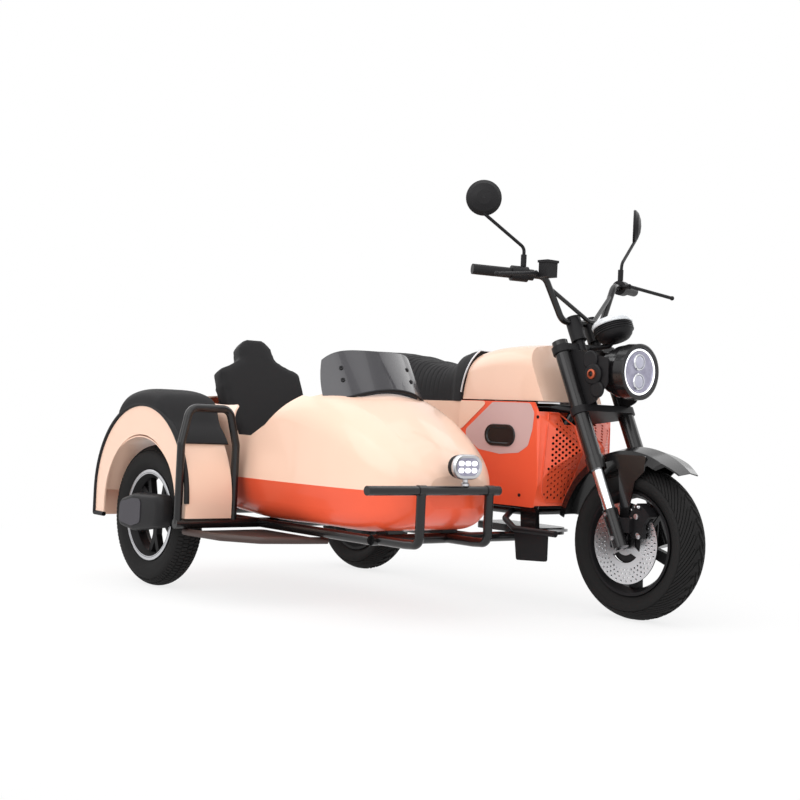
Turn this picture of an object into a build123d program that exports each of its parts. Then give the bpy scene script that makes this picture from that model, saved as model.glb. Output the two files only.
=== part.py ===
from build123d import *
import os
from math import atan2, cos, degrees, pi, radians, sin, sqrt, tan

# Electric motorcycle with a sidecar on its right, in millimetres.
# X runs forward from the rear axle, Y to the left from the motorcycle's middle plane, Z up from the ground.
# Everything is drawn in that frame and moved at the end, so that the origin lies on the ground
# under the middle of the vehicle's outline.

# Overall
WHEELBASE = 1400.0
RIGHT_END = 1145.0
SEAT_FIT = 0.3

# Motorcycle wheels
FRONT_TYRE_D = 486.0
REAR_TYRE_D = 486.0
TYRE_W = 130.0
RIM_R = 166.0
RIM_HALF_W = 48.0
HUB_R = 30.0
FRONT_HUB_HALF_W = 55.0
AXLE_R = 9.0
SPOKES = 5
DISC_R = 128.0
DISC_HOLE_R = 62.0
DISC_T = 4.0
DISC_Y = -60.0
DISC_GAP = 5.5
REAR_MOTOR_R = 120.0

# Sidecar wheel
SIDE_WHEEL_X = 160.0
SIDE_WHEEL_Y = -1018.0
SIDE_TYRE_D = 476.0
SIDE_TYRE_W = 99.0
SIDE_RIM_R = 151.0
SIDE_RIM_HALF_W = 38.0
SPOKE_SPREAD = 30.0

# Fork and steering
RAKE = 25.0
FORK_HALF_SPREAD = 108.0
LEG_LEAD = 17.0
STEER_OFFSET = 45.0
FORK_TUBE_R = 26.0
COLLAR_R = 30.0
STANCHION_R = 19.0
LOWER_LEG_R = 25.0
LEG_FOOT_H = -20.0
LEG_TOP_H = 105.0
TUBE_FOOT_H = 239.0
COLLAR_TOP_H = 281.0
TUBE_TOP_H = 690.0
LOWER_CLAMP_H = 430.0
UPPER_CLAMP_H = 648.0
CLAMP_T = 24.0
STEM_R = 15.0
HEAD_TUBE_R = 27.0

# Handlebar
BAR_R = 11.0
RISER_R = 17.0
RISER_TOP_H = 755.0
RISER_AHEAD = 25.0
RISER_Y = 40.0
CUP_R = 26.0
CUP_DROP = 69.0
CUP_RISE = 16.0
GRIP_R = 17.0
GRIP_L = 125.0
POD_R = 25.0
POD_L = 57.0
GRIP_END = (-119.0, 389.0, 148.0)
BAR_SHOULDER = (-16.0, 168.0, 141.0)
BAR_FOOT_Y = 95.0
BRACE_R = 7.0
BRACE_DIP = (41.0, 12.0, 5.0)
LEVER_TIP = (1147.0, 426.0, 1067.0)
MIRROR_CENTRE = (1008.0, 367.0, 1325.0)
MIRROR_D = 115.0
MIRROR_TURN = 41.0

# Headlamp and gauge
LAMP_FACE_X = WHEELBASE - 18.0
LAMP_EAR_X = LAMP_FACE_X - 82.0
LAMP_Z = 784.0
LAMP_R = 90.0
GAUGE_X = WHEELBASE - 138.0
GAUGE_Z = 884.0
GAUGE_R = 62.0
GAUGE_TILT = 22.0

# Body of the motorcycle
BODY_HALF_W = 172.0
BODY_REAR_X = 726.0
BODY_CREASE_X = 1112.0
PROW_X = 1190.0
PROW_HALF_W = 60.0
BODY_TOP_Z = 675.0
BODY_BOTTOM_Z = 330.0
BODY_WALL = 4.0
GRILLE_SPLIT_X = 1092.0
NECK_HALF_W = 78.0
NECK_DEPTH = 70.0
TANK_HALF_W = 150.0
TANK_SEAM_Z = 680.0
TANK_TOP_Z = 874.0
TANK_REAR_X = 655.0
TANK_SETBACK = 64.0
SEAT_BOTTOM_Z = 672.0
TAIL_END_X = -170.0
RAIL_R = 13.0
RAIL_Y = 110.0
RAIL_Z = SEAT_BOTTOM_Z - SEAT_FIT - RAIL_R
SHOCK_Y = 132.0
SHOCK_PIN_R = 8.0
CRADLE_Z = 312.0
CRADLE_Y = 125.0
PIVOT_X = 520.0
PIVOT_Z = 330.0
ARM_Y = 95.0

# Sidecar body
SIDECAR_Y = -605.0
SIDECAR_SEAM_Z = 385.0
SIDECAR_WALL = 5.0
SCREEN_HALF_W = 200.0
SCREEN_LEAN = 32.0
SCREEN_T = 4.0
SCREEN_TOP_Z = 832.0

# Sidecar frame
FRAME_TUBE_R = 16.0
FRAME_Z = 236.0
FRAME_INNER_Y = -400.0
FRAME_OUTER_Y = -810.0
FRONT_CROSS_X = 1060.0
STEP_CROSS_X = 460.0
REAR_CROSS_X = -60.0
OUTRIGGER_END_Y = -1130.0
HOOP_OUTER_Y = -1119.0
HOOP_INNER_Y = -914.0
MOUNT_PLATE_Y = -147.0
MOUNT_PLATE_T = 6.0
MOUNT_LUG_T = 18.0
CROSS_BAR_R = 10.0
BUMPER_R = 14.0

# Sidecar wheel guard
SKIRT_Y = -1098.0
SKIRT_X = 166.0
SKIRT_R = 310.0
SKIRT_OPENING_R = 243.0
SKIRT_CENTRE_Z = 302.0
SKIRT_OPENING_Z = 266.0
SKIRT_FOOT_Z = 215.0
GUARD_T = 4.0
ARM_OUTER_Y = -1094.0
SIDE_SHOCK_Y = -908.0
SIDE_SHOCK_X = 250.0
POST_R = 9.0
GUARD_R = 262.0

RAKE_SIN = sin(radians(RAKE))
RAKE_COS = cos(radians(RAKE))
UP = Vector(-RAKE_SIN, 0, RAKE_COS)
AHEAD = Vector(RAKE_COS, 0, RAKE_SIN)
SIDEWAYS = Vector(0, 1, 0)
FRONT_AXLE = Vector(WHEELBASE, 0, FRONT_TYRE_D / 2)
REAR_AXLE = Vector(0, 0, REAR_TYRE_D / 2)
SIDE_AXLE = Vector(SIDE_WHEEL_X, SIDE_WHEEL_Y, SIDE_TYRE_D / 2)
LEG_FOOT = FRONT_AXLE + AHEAD * LEG_LEAD


def on_fork(height, ahead=0.0, side=0.0):
    """Point at a height along the fork legs, ahead of their plane and to the side."""
    return LEG_FOOT + UP * height + AHEAD * ahead + SIDEWAYS * side


def fork_plane(height):
    """Plane square to the steering axis, its origin on that axis, its x ahead and its y to the left."""
    return Plane(origin=on_fork(height, -STEER_OFFSET), x_dir=AHEAD, z_dir=UP)


def steer_x(z):
    """X of the steering axis at a level."""
    height = (z - LEG_FOOT.Z + STEER_OFFSET * RAKE_SIN) / RAKE_COS
    return on_fork(height, -STEER_OFFSET).X


def rod(start, end, radius):
    """Round bar between two points."""
    start, end = Vector(*start), Vector(*end)
    along = end - start
    base = Plane(origin=start, z_dir=along)
    return base * Cylinder(radius, along.length, align=(Align.CENTER, Align.CENTER, Align.MIN))


def tube(points, radius, bend):
    """Round tube along straight runs joined by bends."""
    path = FilletPolyline(*[Vector(*point) for point in points], radius=bend)
    section = Plane(origin=path @ 0, z_dir=path % 0) * Circle(radius)
    return sweep(section, path=path)


def plate_y(outline, corner, low_y, high_y):
    """Plate between two Y levels, its outline given as (x, z) points with rounded corners."""
    points = [(x, low_y, z) for x, z in outline]
    wire = FilletPolyline(*points, radius=corner, close=True)
    return extrude(Face(wire), amount=high_y - low_y, dir=(0, 1, 0))


def plate_z(outline, corner, low_z, high_z):
    """Plate between two Z levels, its outline given as (x, y) points with rounded corners."""
    points = [(x, y, low_z) for x, y in outline]
    wire = FilletPolyline(*points, radius=corner, close=True)
    return extrude(Face(wire), amount=high_z - low_z, dir=(0, 0, 1))


def lathe_y(profile, centre, arc=360.0, start=0.0):
    """Body turned about the Y line through a centre, from (radius, y) points."""
    points = [(centre.X + r, centre.Y + y, centre.Z) for r, y in profile]
    face = Face(Polyline(*points, close=True))
    axis = Axis(tuple(centre), (0, -1, 0))
    turned = revolve(face, axis=axis, revolution_arc=arc)
    return turned.rotate(axis, start) if start else turned


def lathe(profile, origin, along):
    """Body turned about a line through an origin, from (radius, distance along) points."""
    base = Plane(origin=origin, z_dir=along)
    face = Face(Polyline(*[(r, 0, h) for r, h in profile], close=True))
    return base * revolve(face, axis=Axis.Z)


def both_sides(shape):
    """The shape and its mirror image across the motorcycle's middle plane."""
    return shape + mirror(shape, about=Plane.XZ)


def tyre(centre, diameter, width, rim_r):
    """Tyre with a round crown and straight side walls, open at its bead."""
    outer = diameter / 2
    half = width / 2
    bead = half * 0.62
    shoulder_r = outer - width * 0.20
    section = [
        Line((rim_r, -bead), (rim_r + 8, -bead - 6)),
        ThreePointArc((rim_r + 8, -bead - 6), ((rim_r + shoulder_r) / 2, -half), (shoulder_r, -half + 7)),
        ThreePointArc((shoulder_r, -half + 7), (outer, 0), (shoulder_r, half - 7)),
        ThreePointArc((shoulder_r, half - 7), ((rim_r + shoulder_r) / 2, half), (rim_r + 8, bead + 6)),
        Line((rim_r + 8, bead + 6), (rim_r, bead)),
        Line((rim_r, bead), (rim_r, -bead)),
    ]
    face = Plane(origin=centre, x_dir=(1, 0, 0), z_dir=(0, 0, 1)) * make_face(section)
    return revolve(face, axis=Axis(tuple(centre), (0, 1, 0)))


def cast_rim(centre, rim_r, half_w, hub_r, hub_half_w, bore_r, spokes, spread=0.0):
    """Cast wheel: barrel, hub with its bore and spokes, forked where they have a spread."""
    barrel = lathe_y(
        [
            (rim_r - SEAT_FIT, -half_w),
            (rim_r - SEAT_FIT, half_w),
            (rim_r - 9, half_w),
            (rim_r - 24, half_w * 0.4),
            (rim_r - 24, -half_w * 0.4),
            (rim_r - 9, -half_w),
        ],
        centre,
    )
    hub = lathe_y(
        [(0, -hub_half_w), (0, hub_half_w), (hub_r, hub_half_w), (hub_r + 6, 0), (hub_r, -hub_half_w)], centre
    )
    wheel = barrel + hub
    root, tip = hub_r * 0.7, rim_r - 18
    outline = [(root, -13), (root, 13), (tip, 19), (tip, -19)]
    if spread:
        fork, crotch = root * 0.6 + tip * 0.4, root * 0.4 + tip * 0.6
        outline = [(root, -12), (fork, -12), (tip, -spread - 9), (tip, 9 - spread), (crotch, 0)]
        outline += [(tip, spread - 9), (tip, spread + 9), (fork, 12), (root, 12)]
    spoke = Plane(origin=centre, x_dir=(1, 0, 0), z_dir=(0, -1, 0)) * extrude(
        make_face(Polyline(*outline, close=True)), amount=11, both=True
    )
    for index in range(spokes):
        wheel += spoke.rotate(Axis(tuple(centre), (0, 1, 0)), 360 / spokes * index + 90)
    return wheel - lathe_y(
        [(0, -hub_half_w - 1), (0, hub_half_w + 1), (bore_r, hub_half_w + 1), (bore_r, -hub_half_w - 1)], centre
    )


def front_tyre():
    return tyre(FRONT_AXLE, FRONT_TYRE_D, TYRE_W, RIM_R)


def rear_tyre():
    return tyre(REAR_AXLE, REAR_TYRE_D, TYRE_W, RIM_R)


def sidecar_tyre():
    return tyre(SIDE_AXLE, SIDE_TYRE_D, SIDE_TYRE_W, SIDE_RIM_R)


def front_rim():
    return cast_rim(FRONT_AXLE, RIM_R, RIM_HALF_W, HUB_R, FRONT_HUB_HALF_W, AXLE_R + SEAT_FIT, SPOKES)


def rear_rim():
    """Rim with the drive motor as its hub."""
    rim = cast_rim(REAR_AXLE, RIM_R, RIM_HALF_W, HUB_R, 60.0, AXLE_R + SEAT_FIT, SPOKES)
    motor = lathe_y(
        [(20, -50), (20, 50), (REAR_MOTOR_R - 14, 50), (REAR_MOTOR_R, 36), (REAR_MOTOR_R, -36), (REAR_MOTOR_R - 14, -50)],
        REAR_AXLE,
    )
    return rim + motor


def sidecar_rim():
    bore_r = AXLE_R + SEAT_FIT
    return cast_rim(SIDE_AXLE, SIDE_RIM_R, SIDE_RIM_HALF_W, HUB_R, 48.0, bore_r, SPOKES, SPOKE_SPREAD)


def brake_disc():
    """Brake ring on a carrier with three arms, seated on the hub's right end."""
    centre = FRONT_AXLE + SIDEWAYS * DISC_Y
    ring = lathe_y([(DISC_HOLE_R, -DISC_T / 2), (DISC_HOLE_R, DISC_T / 2), (DISC_R, DISC_T / 2), (DISC_R, -DISC_T / 2)], centre)
    carrier = lathe_y([(AXLE_R + 4, -DISC_T / 2), (AXLE_R + 4, DISC_T / 2), (38, DISC_T / 2), (38, -DISC_T / 2)], centre)
    seat = -DISC_Y - FRONT_HUB_HALF_W - SEAT_FIT
    carrier += lathe_y([(AXLE_R + 4, 0), (AXLE_R + 4, seat), (HUB_R, seat), (HUB_R, 0)], centre)
    arm = Plane(origin=centre, x_dir=(1, 0, 0), z_dir=(0, -1, 0)) * extrude(
        make_face(Polyline((30, -14), (30, 14), (70, 9), (70, -9), close=True)), amount=DISC_T / 2, both=True
    )
    disc = ring + carrier
    for index in range(3):
        disc += arm.rotate(Axis(tuple(centre), (0, 1, 0)), 120 * index + 30)
    return disc


def fork_tubes():
    leg = rod(on_fork(TUBE_FOOT_H, 0, -FORK_HALF_SPREAD), on_fork(TUBE_TOP_H, 0, -FORK_HALF_SPREAD), FORK_TUBE_R)
    leg += rod(on_fork(TUBE_FOOT_H, 0, -FORK_HALF_SPREAD), on_fork(COLLAR_TOP_H, 0, -FORK_HALF_SPREAD), COLLAR_R)
    return both_sides(leg)


def fork_stanchions():
    return both_sides(
        rod(on_fork(LEG_TOP_H, 0, -FORK_HALF_SPREAD), on_fork(TUBE_FOOT_H, 0, -FORK_HALF_SPREAD), STANCHION_R)
    )


def fork_lowers():
    """Lower legs with the axle between them."""
    leg = rod(on_fork(LEG_FOOT_H, 0, -FORK_HALF_SPREAD), on_fork(LEG_TOP_H, 0, -FORK_HALF_SPREAD), LOWER_LEG_R)
    axle = rod(FRONT_AXLE - SIDEWAYS * FORK_HALF_SPREAD, FRONT_AXLE + SIDEWAYS * FORK_HALF_SPREAD, AXLE_R)
    leg += rod(FRONT_AXLE - SIDEWAYS * FORK_HALF_SPREAD, FRONT_AXLE - SIDEWAYS * (76 + SEAT_FIT), 18)
    return both_sides(leg) + axle


def clamp_plate(height):
    """Clamp plate around both legs and the stem."""
    grown = 6.0
    circles = [
        Pos(STEER_OFFSET, FORK_HALF_SPREAD) * Circle(FORK_TUBE_R + grown),
        Pos(STEER_OFFSET, -FORK_HALF_SPREAD) * Circle(FORK_TUBE_R + grown),
        Circle(HEAD_TUBE_R + grown / 2),
    ]
    edges = [edge for circle in circles for edge in circle.edges()]
    return fork_plane(height) * extrude(make_hull(edges), amount=CLAMP_T)


def fork_clamps():
    """Both clamps, the steering stem, the handlebar risers and the lamp brackets."""
    clamps = clamp_plate(LOWER_CLAMP_H) + clamp_plate(UPPER_CLAMP_H)
    clamps += rod(on_fork(LOWER_CLAMP_H, -STEER_OFFSET), on_fork(UPPER_CLAMP_H, -STEER_OFFSET), STEM_R)
    riser_foot = on_fork(UPPER_CLAMP_H, RISER_AHEAD, -RISER_Y)
    cup_foot = on_fork(RISER_TOP_H - CUP_DROP, RISER_AHEAD, -RISER_Y)
    cup_top = on_fork(RISER_TOP_H + CUP_RISE, RISER_AHEAD, -RISER_Y)
    clamps += both_sides(rod(riser_foot, cup_top, RISER_R) + rod(cup_foot, cup_top, CUP_R))
    top, foot = on_fork(UPPER_CLAMP_H + 4, 20), on_fork(LOWER_CLAMP_H + CLAMP_T - 4, 20)
    ear_x = LAMP_EAR_X + 30
    outline = [(top.X, top.Z), (foot.X, foot.Z), (foot.X + 40, foot.Z + 20)]
    outline += [(ear_x, LAMP_Z - 39), (ear_x, LAMP_Z + 39), (top.X + 40, top.Z)]
    clamps += both_sides(plate_y(outline, 12, -97, -92))
    gauge_foot = Vector(GAUGE_X, 0, GAUGE_Z)
    clamps += tube([on_fork(UPPER_CLAMP_H + CLAMP_T / 2, 20), (GAUGE_X - 20, 0, 868), gauge_foot], 8, 12)
    leg = rod(on_fork(0, 0, -FORK_HALF_SPREAD), on_fork(TUBE_TOP_H + 20, 0, -FORK_HALF_SPREAD), FORK_TUBE_R)
    bar = bar_centre()
    return clamps - both_sides(leg) - rod(bar - SIDEWAYS * BAR_FOOT_Y, bar + SIDEWAYS * BAR_FOOT_Y, BAR_R)


def bar_centre():
    return on_fork(RISER_TOP_H, RISER_AHEAD)


def bar_point(offset, side):
    """Point of the handlebar from its offset to the bar's middle, on the left (1) or right (-1)."""
    return bar_centre() + Vector(offset[0], offset[1] * side, offset[2])


def mirrored_tube(offsets, radius, bend):
    """Tube from the right offset to the left one, the same on both sides."""
    points = [bar_point(offset, -1) for offset in offsets]
    points += [bar_point(offset, 1) for offset in reversed(offsets)]
    return tube(points, radius, bend)


def handlebar():
    """Raised bar with a brace dipping between its uprights."""
    foot = (0, BAR_FOOT_Y, 0)
    brace_end = [0.75 * high + 0.25 * low for high, low in zip(BAR_SHOULDER, foot)]
    bar = mirrored_tube([GRIP_END, BAR_SHOULDER, foot], BAR_R, 38)
    return bar + mirrored_tube([brace_end, BRACE_DIP], BRACE_R, 8)


def along_grip(distance):
    """Point on the right grip's line, counted from the bar's end."""
    end, shoulder = bar_point(GRIP_END, -1), bar_point(BAR_SHOULDER, -1)
    return end + (shoulder - end).normalized() * distance


def perch_point():
    """Where the right pod carries the lever and the mirror."""
    return along_grip(GRIP_L + POD_L * 0.75)


def fluid_box():
    """Brake fluid box ahead of the bar, on a clamp beside the right pod."""
    foot = along_grip(GRIP_L + POD_L + 9)
    ring = rod(along_grip(GRIP_L + POD_L - 2), along_grip(GRIP_L + POD_L + 20), POD_R - 7)
    neck = rod(foot, foot + Vector(45, 17, 0), 9)
    box = Pos(*(foot + Vector(59, 23, 15))) * Box(40, 46, 48)
    lid = Pos(*(foot + Vector(59, 23, 42))) * Box(46, 52, 8)
    return ring + neck + box + lid


def hand_controls():
    """Grips, switch pods, brake levers with their perches and the fluid box."""
    beyond = along_grip(-6)
    grip = rod(beyond, along_grip(GRIP_L), GRIP_R)
    pod = rod(along_grip(GRIP_L + 1), along_grip(GRIP_L + POD_L), POD_R)
    perch = perch_point()
    tip = Vector(LEVER_TIP[0], -LEVER_TIP[1], LEVER_TIP[2])
    knuckle = perch + Vector(52, 10, 2)
    lever = rod(perch, knuckle, 9) + rod(knuckle, tip, 6) + Pos(*tip) * Sphere(8)
    hollow = both_sides(rod(along_grip(0), bar_point(BAR_SHOULDER, -1), BAR_R))
    return both_sides(grip + ((pod + lever) - grip)) + fluid_box() - hollow


def mirrors():
    """Round mirrors on bent stems, turned towards the rider."""
    centre = Vector(MIRROR_CENTRE[0], -MIRROR_CENTRE[1], MIRROR_CENTRE[2])
    facing = Vector(cos(radians(MIRROR_TURN)), -sin(radians(MIRROR_TURN)), 0)
    half = MIRROR_D / 2
    head = lathe([(0, 0), (half, 0), (half, 6), (half * 0.8, 17), (half * 0.4, 25), (0, 27)], centre, facing)
    foot = perch_point() + Vector(0, 0, POD_R + SEAT_FIT)
    stem = tube([foot, foot + Vector(2, -2, 60), centre + Vector(0, 0, -half + 8) + facing * 9], 5.5, 25)
    boss = rod(foot, foot + Vector(0, 0, 38), 9.5)
    return both_sides(head + stem + boss)


def headlamp_shell():
    """Round lamp bowl with its bezel, recessed for the lens."""
    bowl = lathe(
        [
            (0, 140),
            (40, 134),
            (70, 112),
            (84, 76),
            (88, 48),
            (LAMP_R, 40),
            (LAMP_R, 2),
            (LAMP_R - 4, 0),
            (LAMP_R - 12, 0),
            (LAMP_R - 14, 12),
            (0, 12),
        ],
        Vector(LAMP_FACE_X, 0, LAMP_Z),
        Vector(-1, 0, 0),
    )
    ear = rod((LAMP_EAR_X, -91.7, LAMP_Z), (LAMP_EAR_X, -70, LAMP_Z), 12)
    return bowl + both_sides(ear)


def headlamp_lens():
    lens = lathe(
        [(0, 12 - SEAT_FIT), (LAMP_R - 15, 12 - SEAT_FIT), (LAMP_R - 14, 3), (LAMP_R - 22, 0), (0, -4)],
        Vector(LAMP_FACE_X, 0, LAMP_Z),
        Vector(-1, 0, 0),
    )
    return lens


def gauge():
    """Ribbed cup with a pale dial, tilted to the rider."""
    tilt = Vector(-sin(radians(GAUGE_TILT)), 0, cos(radians(GAUGE_TILT)))
    return lathe(
        [
            (0, 0),
            (30, 0),
            (46, 10),
            (GAUGE_R - 4, 22),
            (GAUGE_R, 24),
            (GAUGE_R, 40),
            (GAUGE_R + 3, 42),
            (GAUGE_R + 3, 62),
            (GAUGE_R - 4, 66),
            (0, 66),
        ],
        Vector(GAUGE_X, 0, GAUGE_Z + SEAT_FIT),
        tilt,
    )


def front_fender():
    """Creased fender over the front wheel with its side plates."""
    crown, edge, side = 303.0, 290.0, 262.0
    half = 76.0
    thick = 4.0
    shell = lathe_y(
        [
            (side, -half),
            (edge, -half + 10),
            (crown, 0),
            (edge, half - 10),
            (side, half),
            (side, half - thick),
            (edge - thick, half - 14),
            (crown - thick, 0),
            (edge - thick, -half + 14),
            (side, -half + thick),
        ],
        FRONT_AXLE,
        arc=117.0,
        start=50.0,
    )
    tip = plate_z(
        [(1050, -90), (1470, -90), (1640, -26), (1640, 26), (1470, 90), (1050, 90)], 8, 200, 640
    )
    stay = plate_y([(1332, 520), (1481, 520), (1474, 470), (1440, 440), (1419, 345), (1417, 225), (1383, 225), (1385, 345), (1372, 470)], 8, -76, -72)
    stay -= rod(FRONT_AXLE - SIDEWAYS * 80, FRONT_AXLE, AXLE_R + SEAT_FIT)
    return (shell & tip) + both_sides(stay)


def brake_caliper():
    """Caliper bridging the disc's outer edge, on a lug of the right leg."""
    body = plate_y([(1424, 335), (1484, 338), (1489, 262), (1442, 262)], 12, -84, -36)
    body += plate_y([(1430, 330), (1470, 290), (1512, 337), (1490, 358), (1462, 375)], 6, -84, -44)
    body += plate_y([(1403, 325), (1450, 325), (1450, 280), (1403, 280)], 6, -104, -83)
    half, reach = DISC_T / 2 + DISC_GAP, DISC_R + DISC_GAP
    slot = lathe_y([(AXLE_R, -half), (AXLE_R, half), (reach, half), (reach, -half)], FRONT_AXLE + SIDEWAYS * DISC_Y)
    return body - slot - fork_lowers()


def body_outline(inset):
    """Plan outline of the body, one wall further in for the inside."""
    half, prow = BODY_HALF_W - inset, PROW_HALF_W - inset * 0.4
    crease, front = BODY_CREASE_X - inset * 0.4, PROW_X - inset
    return [(BODY_REAR_X, -half), (crease, -half), (front, -prow), (front, prow), (crease, half), (BODY_REAR_X, half)]


def body_profile(inset, reach):
    """Side outline of the body, its nose furthest forward below the fork's lower clamp."""
    low, high = BODY_BOTTOM_Z - reach, BODY_TOP_Z + reach
    nose = [
        (1100 - inset, low),
        (1112 - inset, 400),
        (1136 - inset, 460),
        (PROW_X - inset, 518),
        (PROW_X - inset, 534),
        (1112 - inset, 632),
        (1085 - inset, high),
    ]
    rear = BODY_REAR_X - reach
    heel = [(rear, low)] if reach else [(rear, low + 30), (rear + 60, low)]
    return heel + nose + [(rear, high)]


def body_solid(inset, reach):
    """Body as a block; its inside is the block one wall smaller and run out past its open sides."""
    outline = [(x - reach if x < BODY_CREASE_X - 50 else x, y) for x, y in body_outline(inset)]
    plan = plate_z(outline, 6, BODY_BOTTOM_Z - 60, BODY_TOP_Z + 60)
    side = plate_y(body_profile(inset, reach), 8, -BODY_HALF_W - 10, BODY_HALF_W + 10)
    return plan & side


def body_shell():
    return body_solid(0, 0) - body_solid(BODY_WALL, 40)


def half_space(x0, x1, y0, y1):
    return Pos((x0 + x1) / 2, (y0 + y1) / 2, 500) * Box(x1 - x0, y1 - y0, 1200)


def side_cover_right():
    """Side panel with two pegs that push onto the upper rail."""
    cover = body_shell() & half_space(BODY_REAR_X - 50, GRILLE_SPLIT_X, -400, -70)
    for x in (780, 930):
        reach = RAIL_Y + RAIL_R + SEAT_FIT
        cover += rod((x, -BODY_HALF_W + BODY_WALL / 2, RAIL_Z), (x, -reach, RAIL_Z), 7)
    return cover


def side_cover_left():
    return mirror(side_cover_right(), about=Plane.XZ)


def front_grille():
    panel = body_shell() & half_space(GRILLE_SPLIT_X, PROW_X + 50, -400, 400)
    neck = Pos(BODY_CREASE_X, 0, BODY_TOP_Z) * Box(200, 2 * NECK_HALF_W, 2 * NECK_DEPTH)
    return panel - neck


def battery_block():
    foot, top = CRADLE_Z + CROSS_BAR_R + SEAT_FIT, 630
    return Pos(910, 0, (foot + top) / 2) * Box(300, 216, top - foot)


def rounded_section(points, radii):
    """Closed section with one radius for each inner corner; its first and last corners stay sharp."""
    arch = FilletPolyline(*points, radius=radii)
    return Wire(arch.edges() + [Line(points[-1], points[0])])


def arch_section(x, half_w, bottom, top, shoulder, crown):
    """Upright-sided section with rounded shoulders and a crowned top."""
    points = [
        (x, -half_w, bottom),
        (x, -half_w * 0.96, top - crown),
        (x, 0, top),
        (x, half_w * 0.96, top - crown),
        (x, half_w, bottom),
    ]
    turn = atan2(crown, half_w * 0.96)
    run = sqrt(crown**2 + (half_w * 0.96) ** 2)
    return rounded_section(points, [shoulder, 0.3 * run / tan(turn), shoulder])


def tank_cover():
    """Fuel-tank shaped cover, its front raked like the fork."""
    sections = [
        arch_section(x, half_w, TANK_SEAM_Z, top, shoulder, crown)
        for x, half_w, top, shoulder, crown in [
            (TANK_REAR_X, 132, 800, 50, 14),
            (740, 147, 848, 66, 18),
            (850, TANK_HALF_W, TANK_TOP_Z - 2, 74, 20),
            (980, TANK_HALF_W, TANK_TOP_Z + 2, 74, 20),
            (1110, 138, 862, 70, 20),
        ]
    ]
    block = Solid.make_loft(sections, False)
    front = Plane(origin=Vector(steer_x(TANK_SEAM_Z), 0, TANK_SEAM_Z) - AHEAD * TANK_SETBACK, z_dir=AHEAD)
    return split(block, bisect_by=front, keep=Keep.BOTTOM)


def seat():
    """Long padded seat with a dip for the rider and a raised front edge on the tank."""
    profile = [
        (TAIL_END_X + 40, SEAT_BOTTOM_Z),
        (TAIL_END_X, 720),
        (TAIL_END_X + 10, 812),
        (60, 858),
        (294, 842),
        (480, 806),
        (600, 806),
        (TANK_REAR_X - SEAT_FIT, 838),
        (TANK_REAR_X - SEAT_FIT, SEAT_BOTTOM_Z),
    ]
    block = plate_y(profile, 14, -140, 140)
    plan = plate_z(
        [(TAIL_END_X - 5, -86), (240, -130), (TANK_REAR_X + 5, -138), (TANK_REAR_X + 5, 138), (240, 130), (TAIL_END_X - 5, 86)],
        30,
        SEAT_BOTTOM_Z - 5,
        900,
    )
    return block & plan


def tail_cover():
    """Open-bottomed cover under the seat."""
    rows = [(TAIL_END_X + 10, 84, 640), (240, 128, 590), (BODY_REAR_X - 2, 146, 560)]
    outline = [(x, -y) for x, y, z in rows] + [(x, y) for x, y, z in reversed(rows)]
    outer = plate_z(outline, 20, 540, SEAT_BOTTOM_Z - SEAT_FIT)
    inner_line = [(x + 4 if x < 0 else x + 5, y - 4 if y > 0 else y + 4) for x, y in outline]
    inner = plate_z(inner_line, 18, 500, 700)
    side = plate_y(
        [(TAIL_END_X, 700), (TAIL_END_X, 632), (TAIL_END_X + 40, 615), (240, 580), (BODY_REAR_X, 560), (BODY_REAR_X, 700)], 10, -200, 200
    )
    return (outer - inner) & side


def tail_lamp():
    depth = 30.0
    return Pos(TAIL_END_X + 10 - SEAT_FIT - depth / 2, 0, 652) * Box(depth, 110, 28)


def rear_fender():
    inner = REAR_TYRE_D / 2 + 22
    shell = lathe_y(
        [
            (inner - 24, -76),
            (inner + 4, -74),
            (inner + 4, 74),
            (inner - 24, 76),
            (inner - 24, 72),
            (inner, 70),
            (inner, -70),
            (inner - 24, -72),
        ],
        REAR_AXLE,
        arc=165.0,
        start=25.0,
    )
    stay = rod((0, -76, REAR_AXLE.Z), (0, -72, REAR_AXLE.Z), 20)
    for angle in (62, 150):
        bar = Pos(0, -74, REAR_AXLE.Z) * Rot(0, -angle, 0) * Pos(125, 0, 0) * Box(250, 4, 16)
        stay += bar
    stay -= rod((0, -80, REAR_AXLE.Z), (0, -70, REAR_AXLE.Z), AXLE_R + SEAT_FIT)
    return shell + both_sides(stay)


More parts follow.
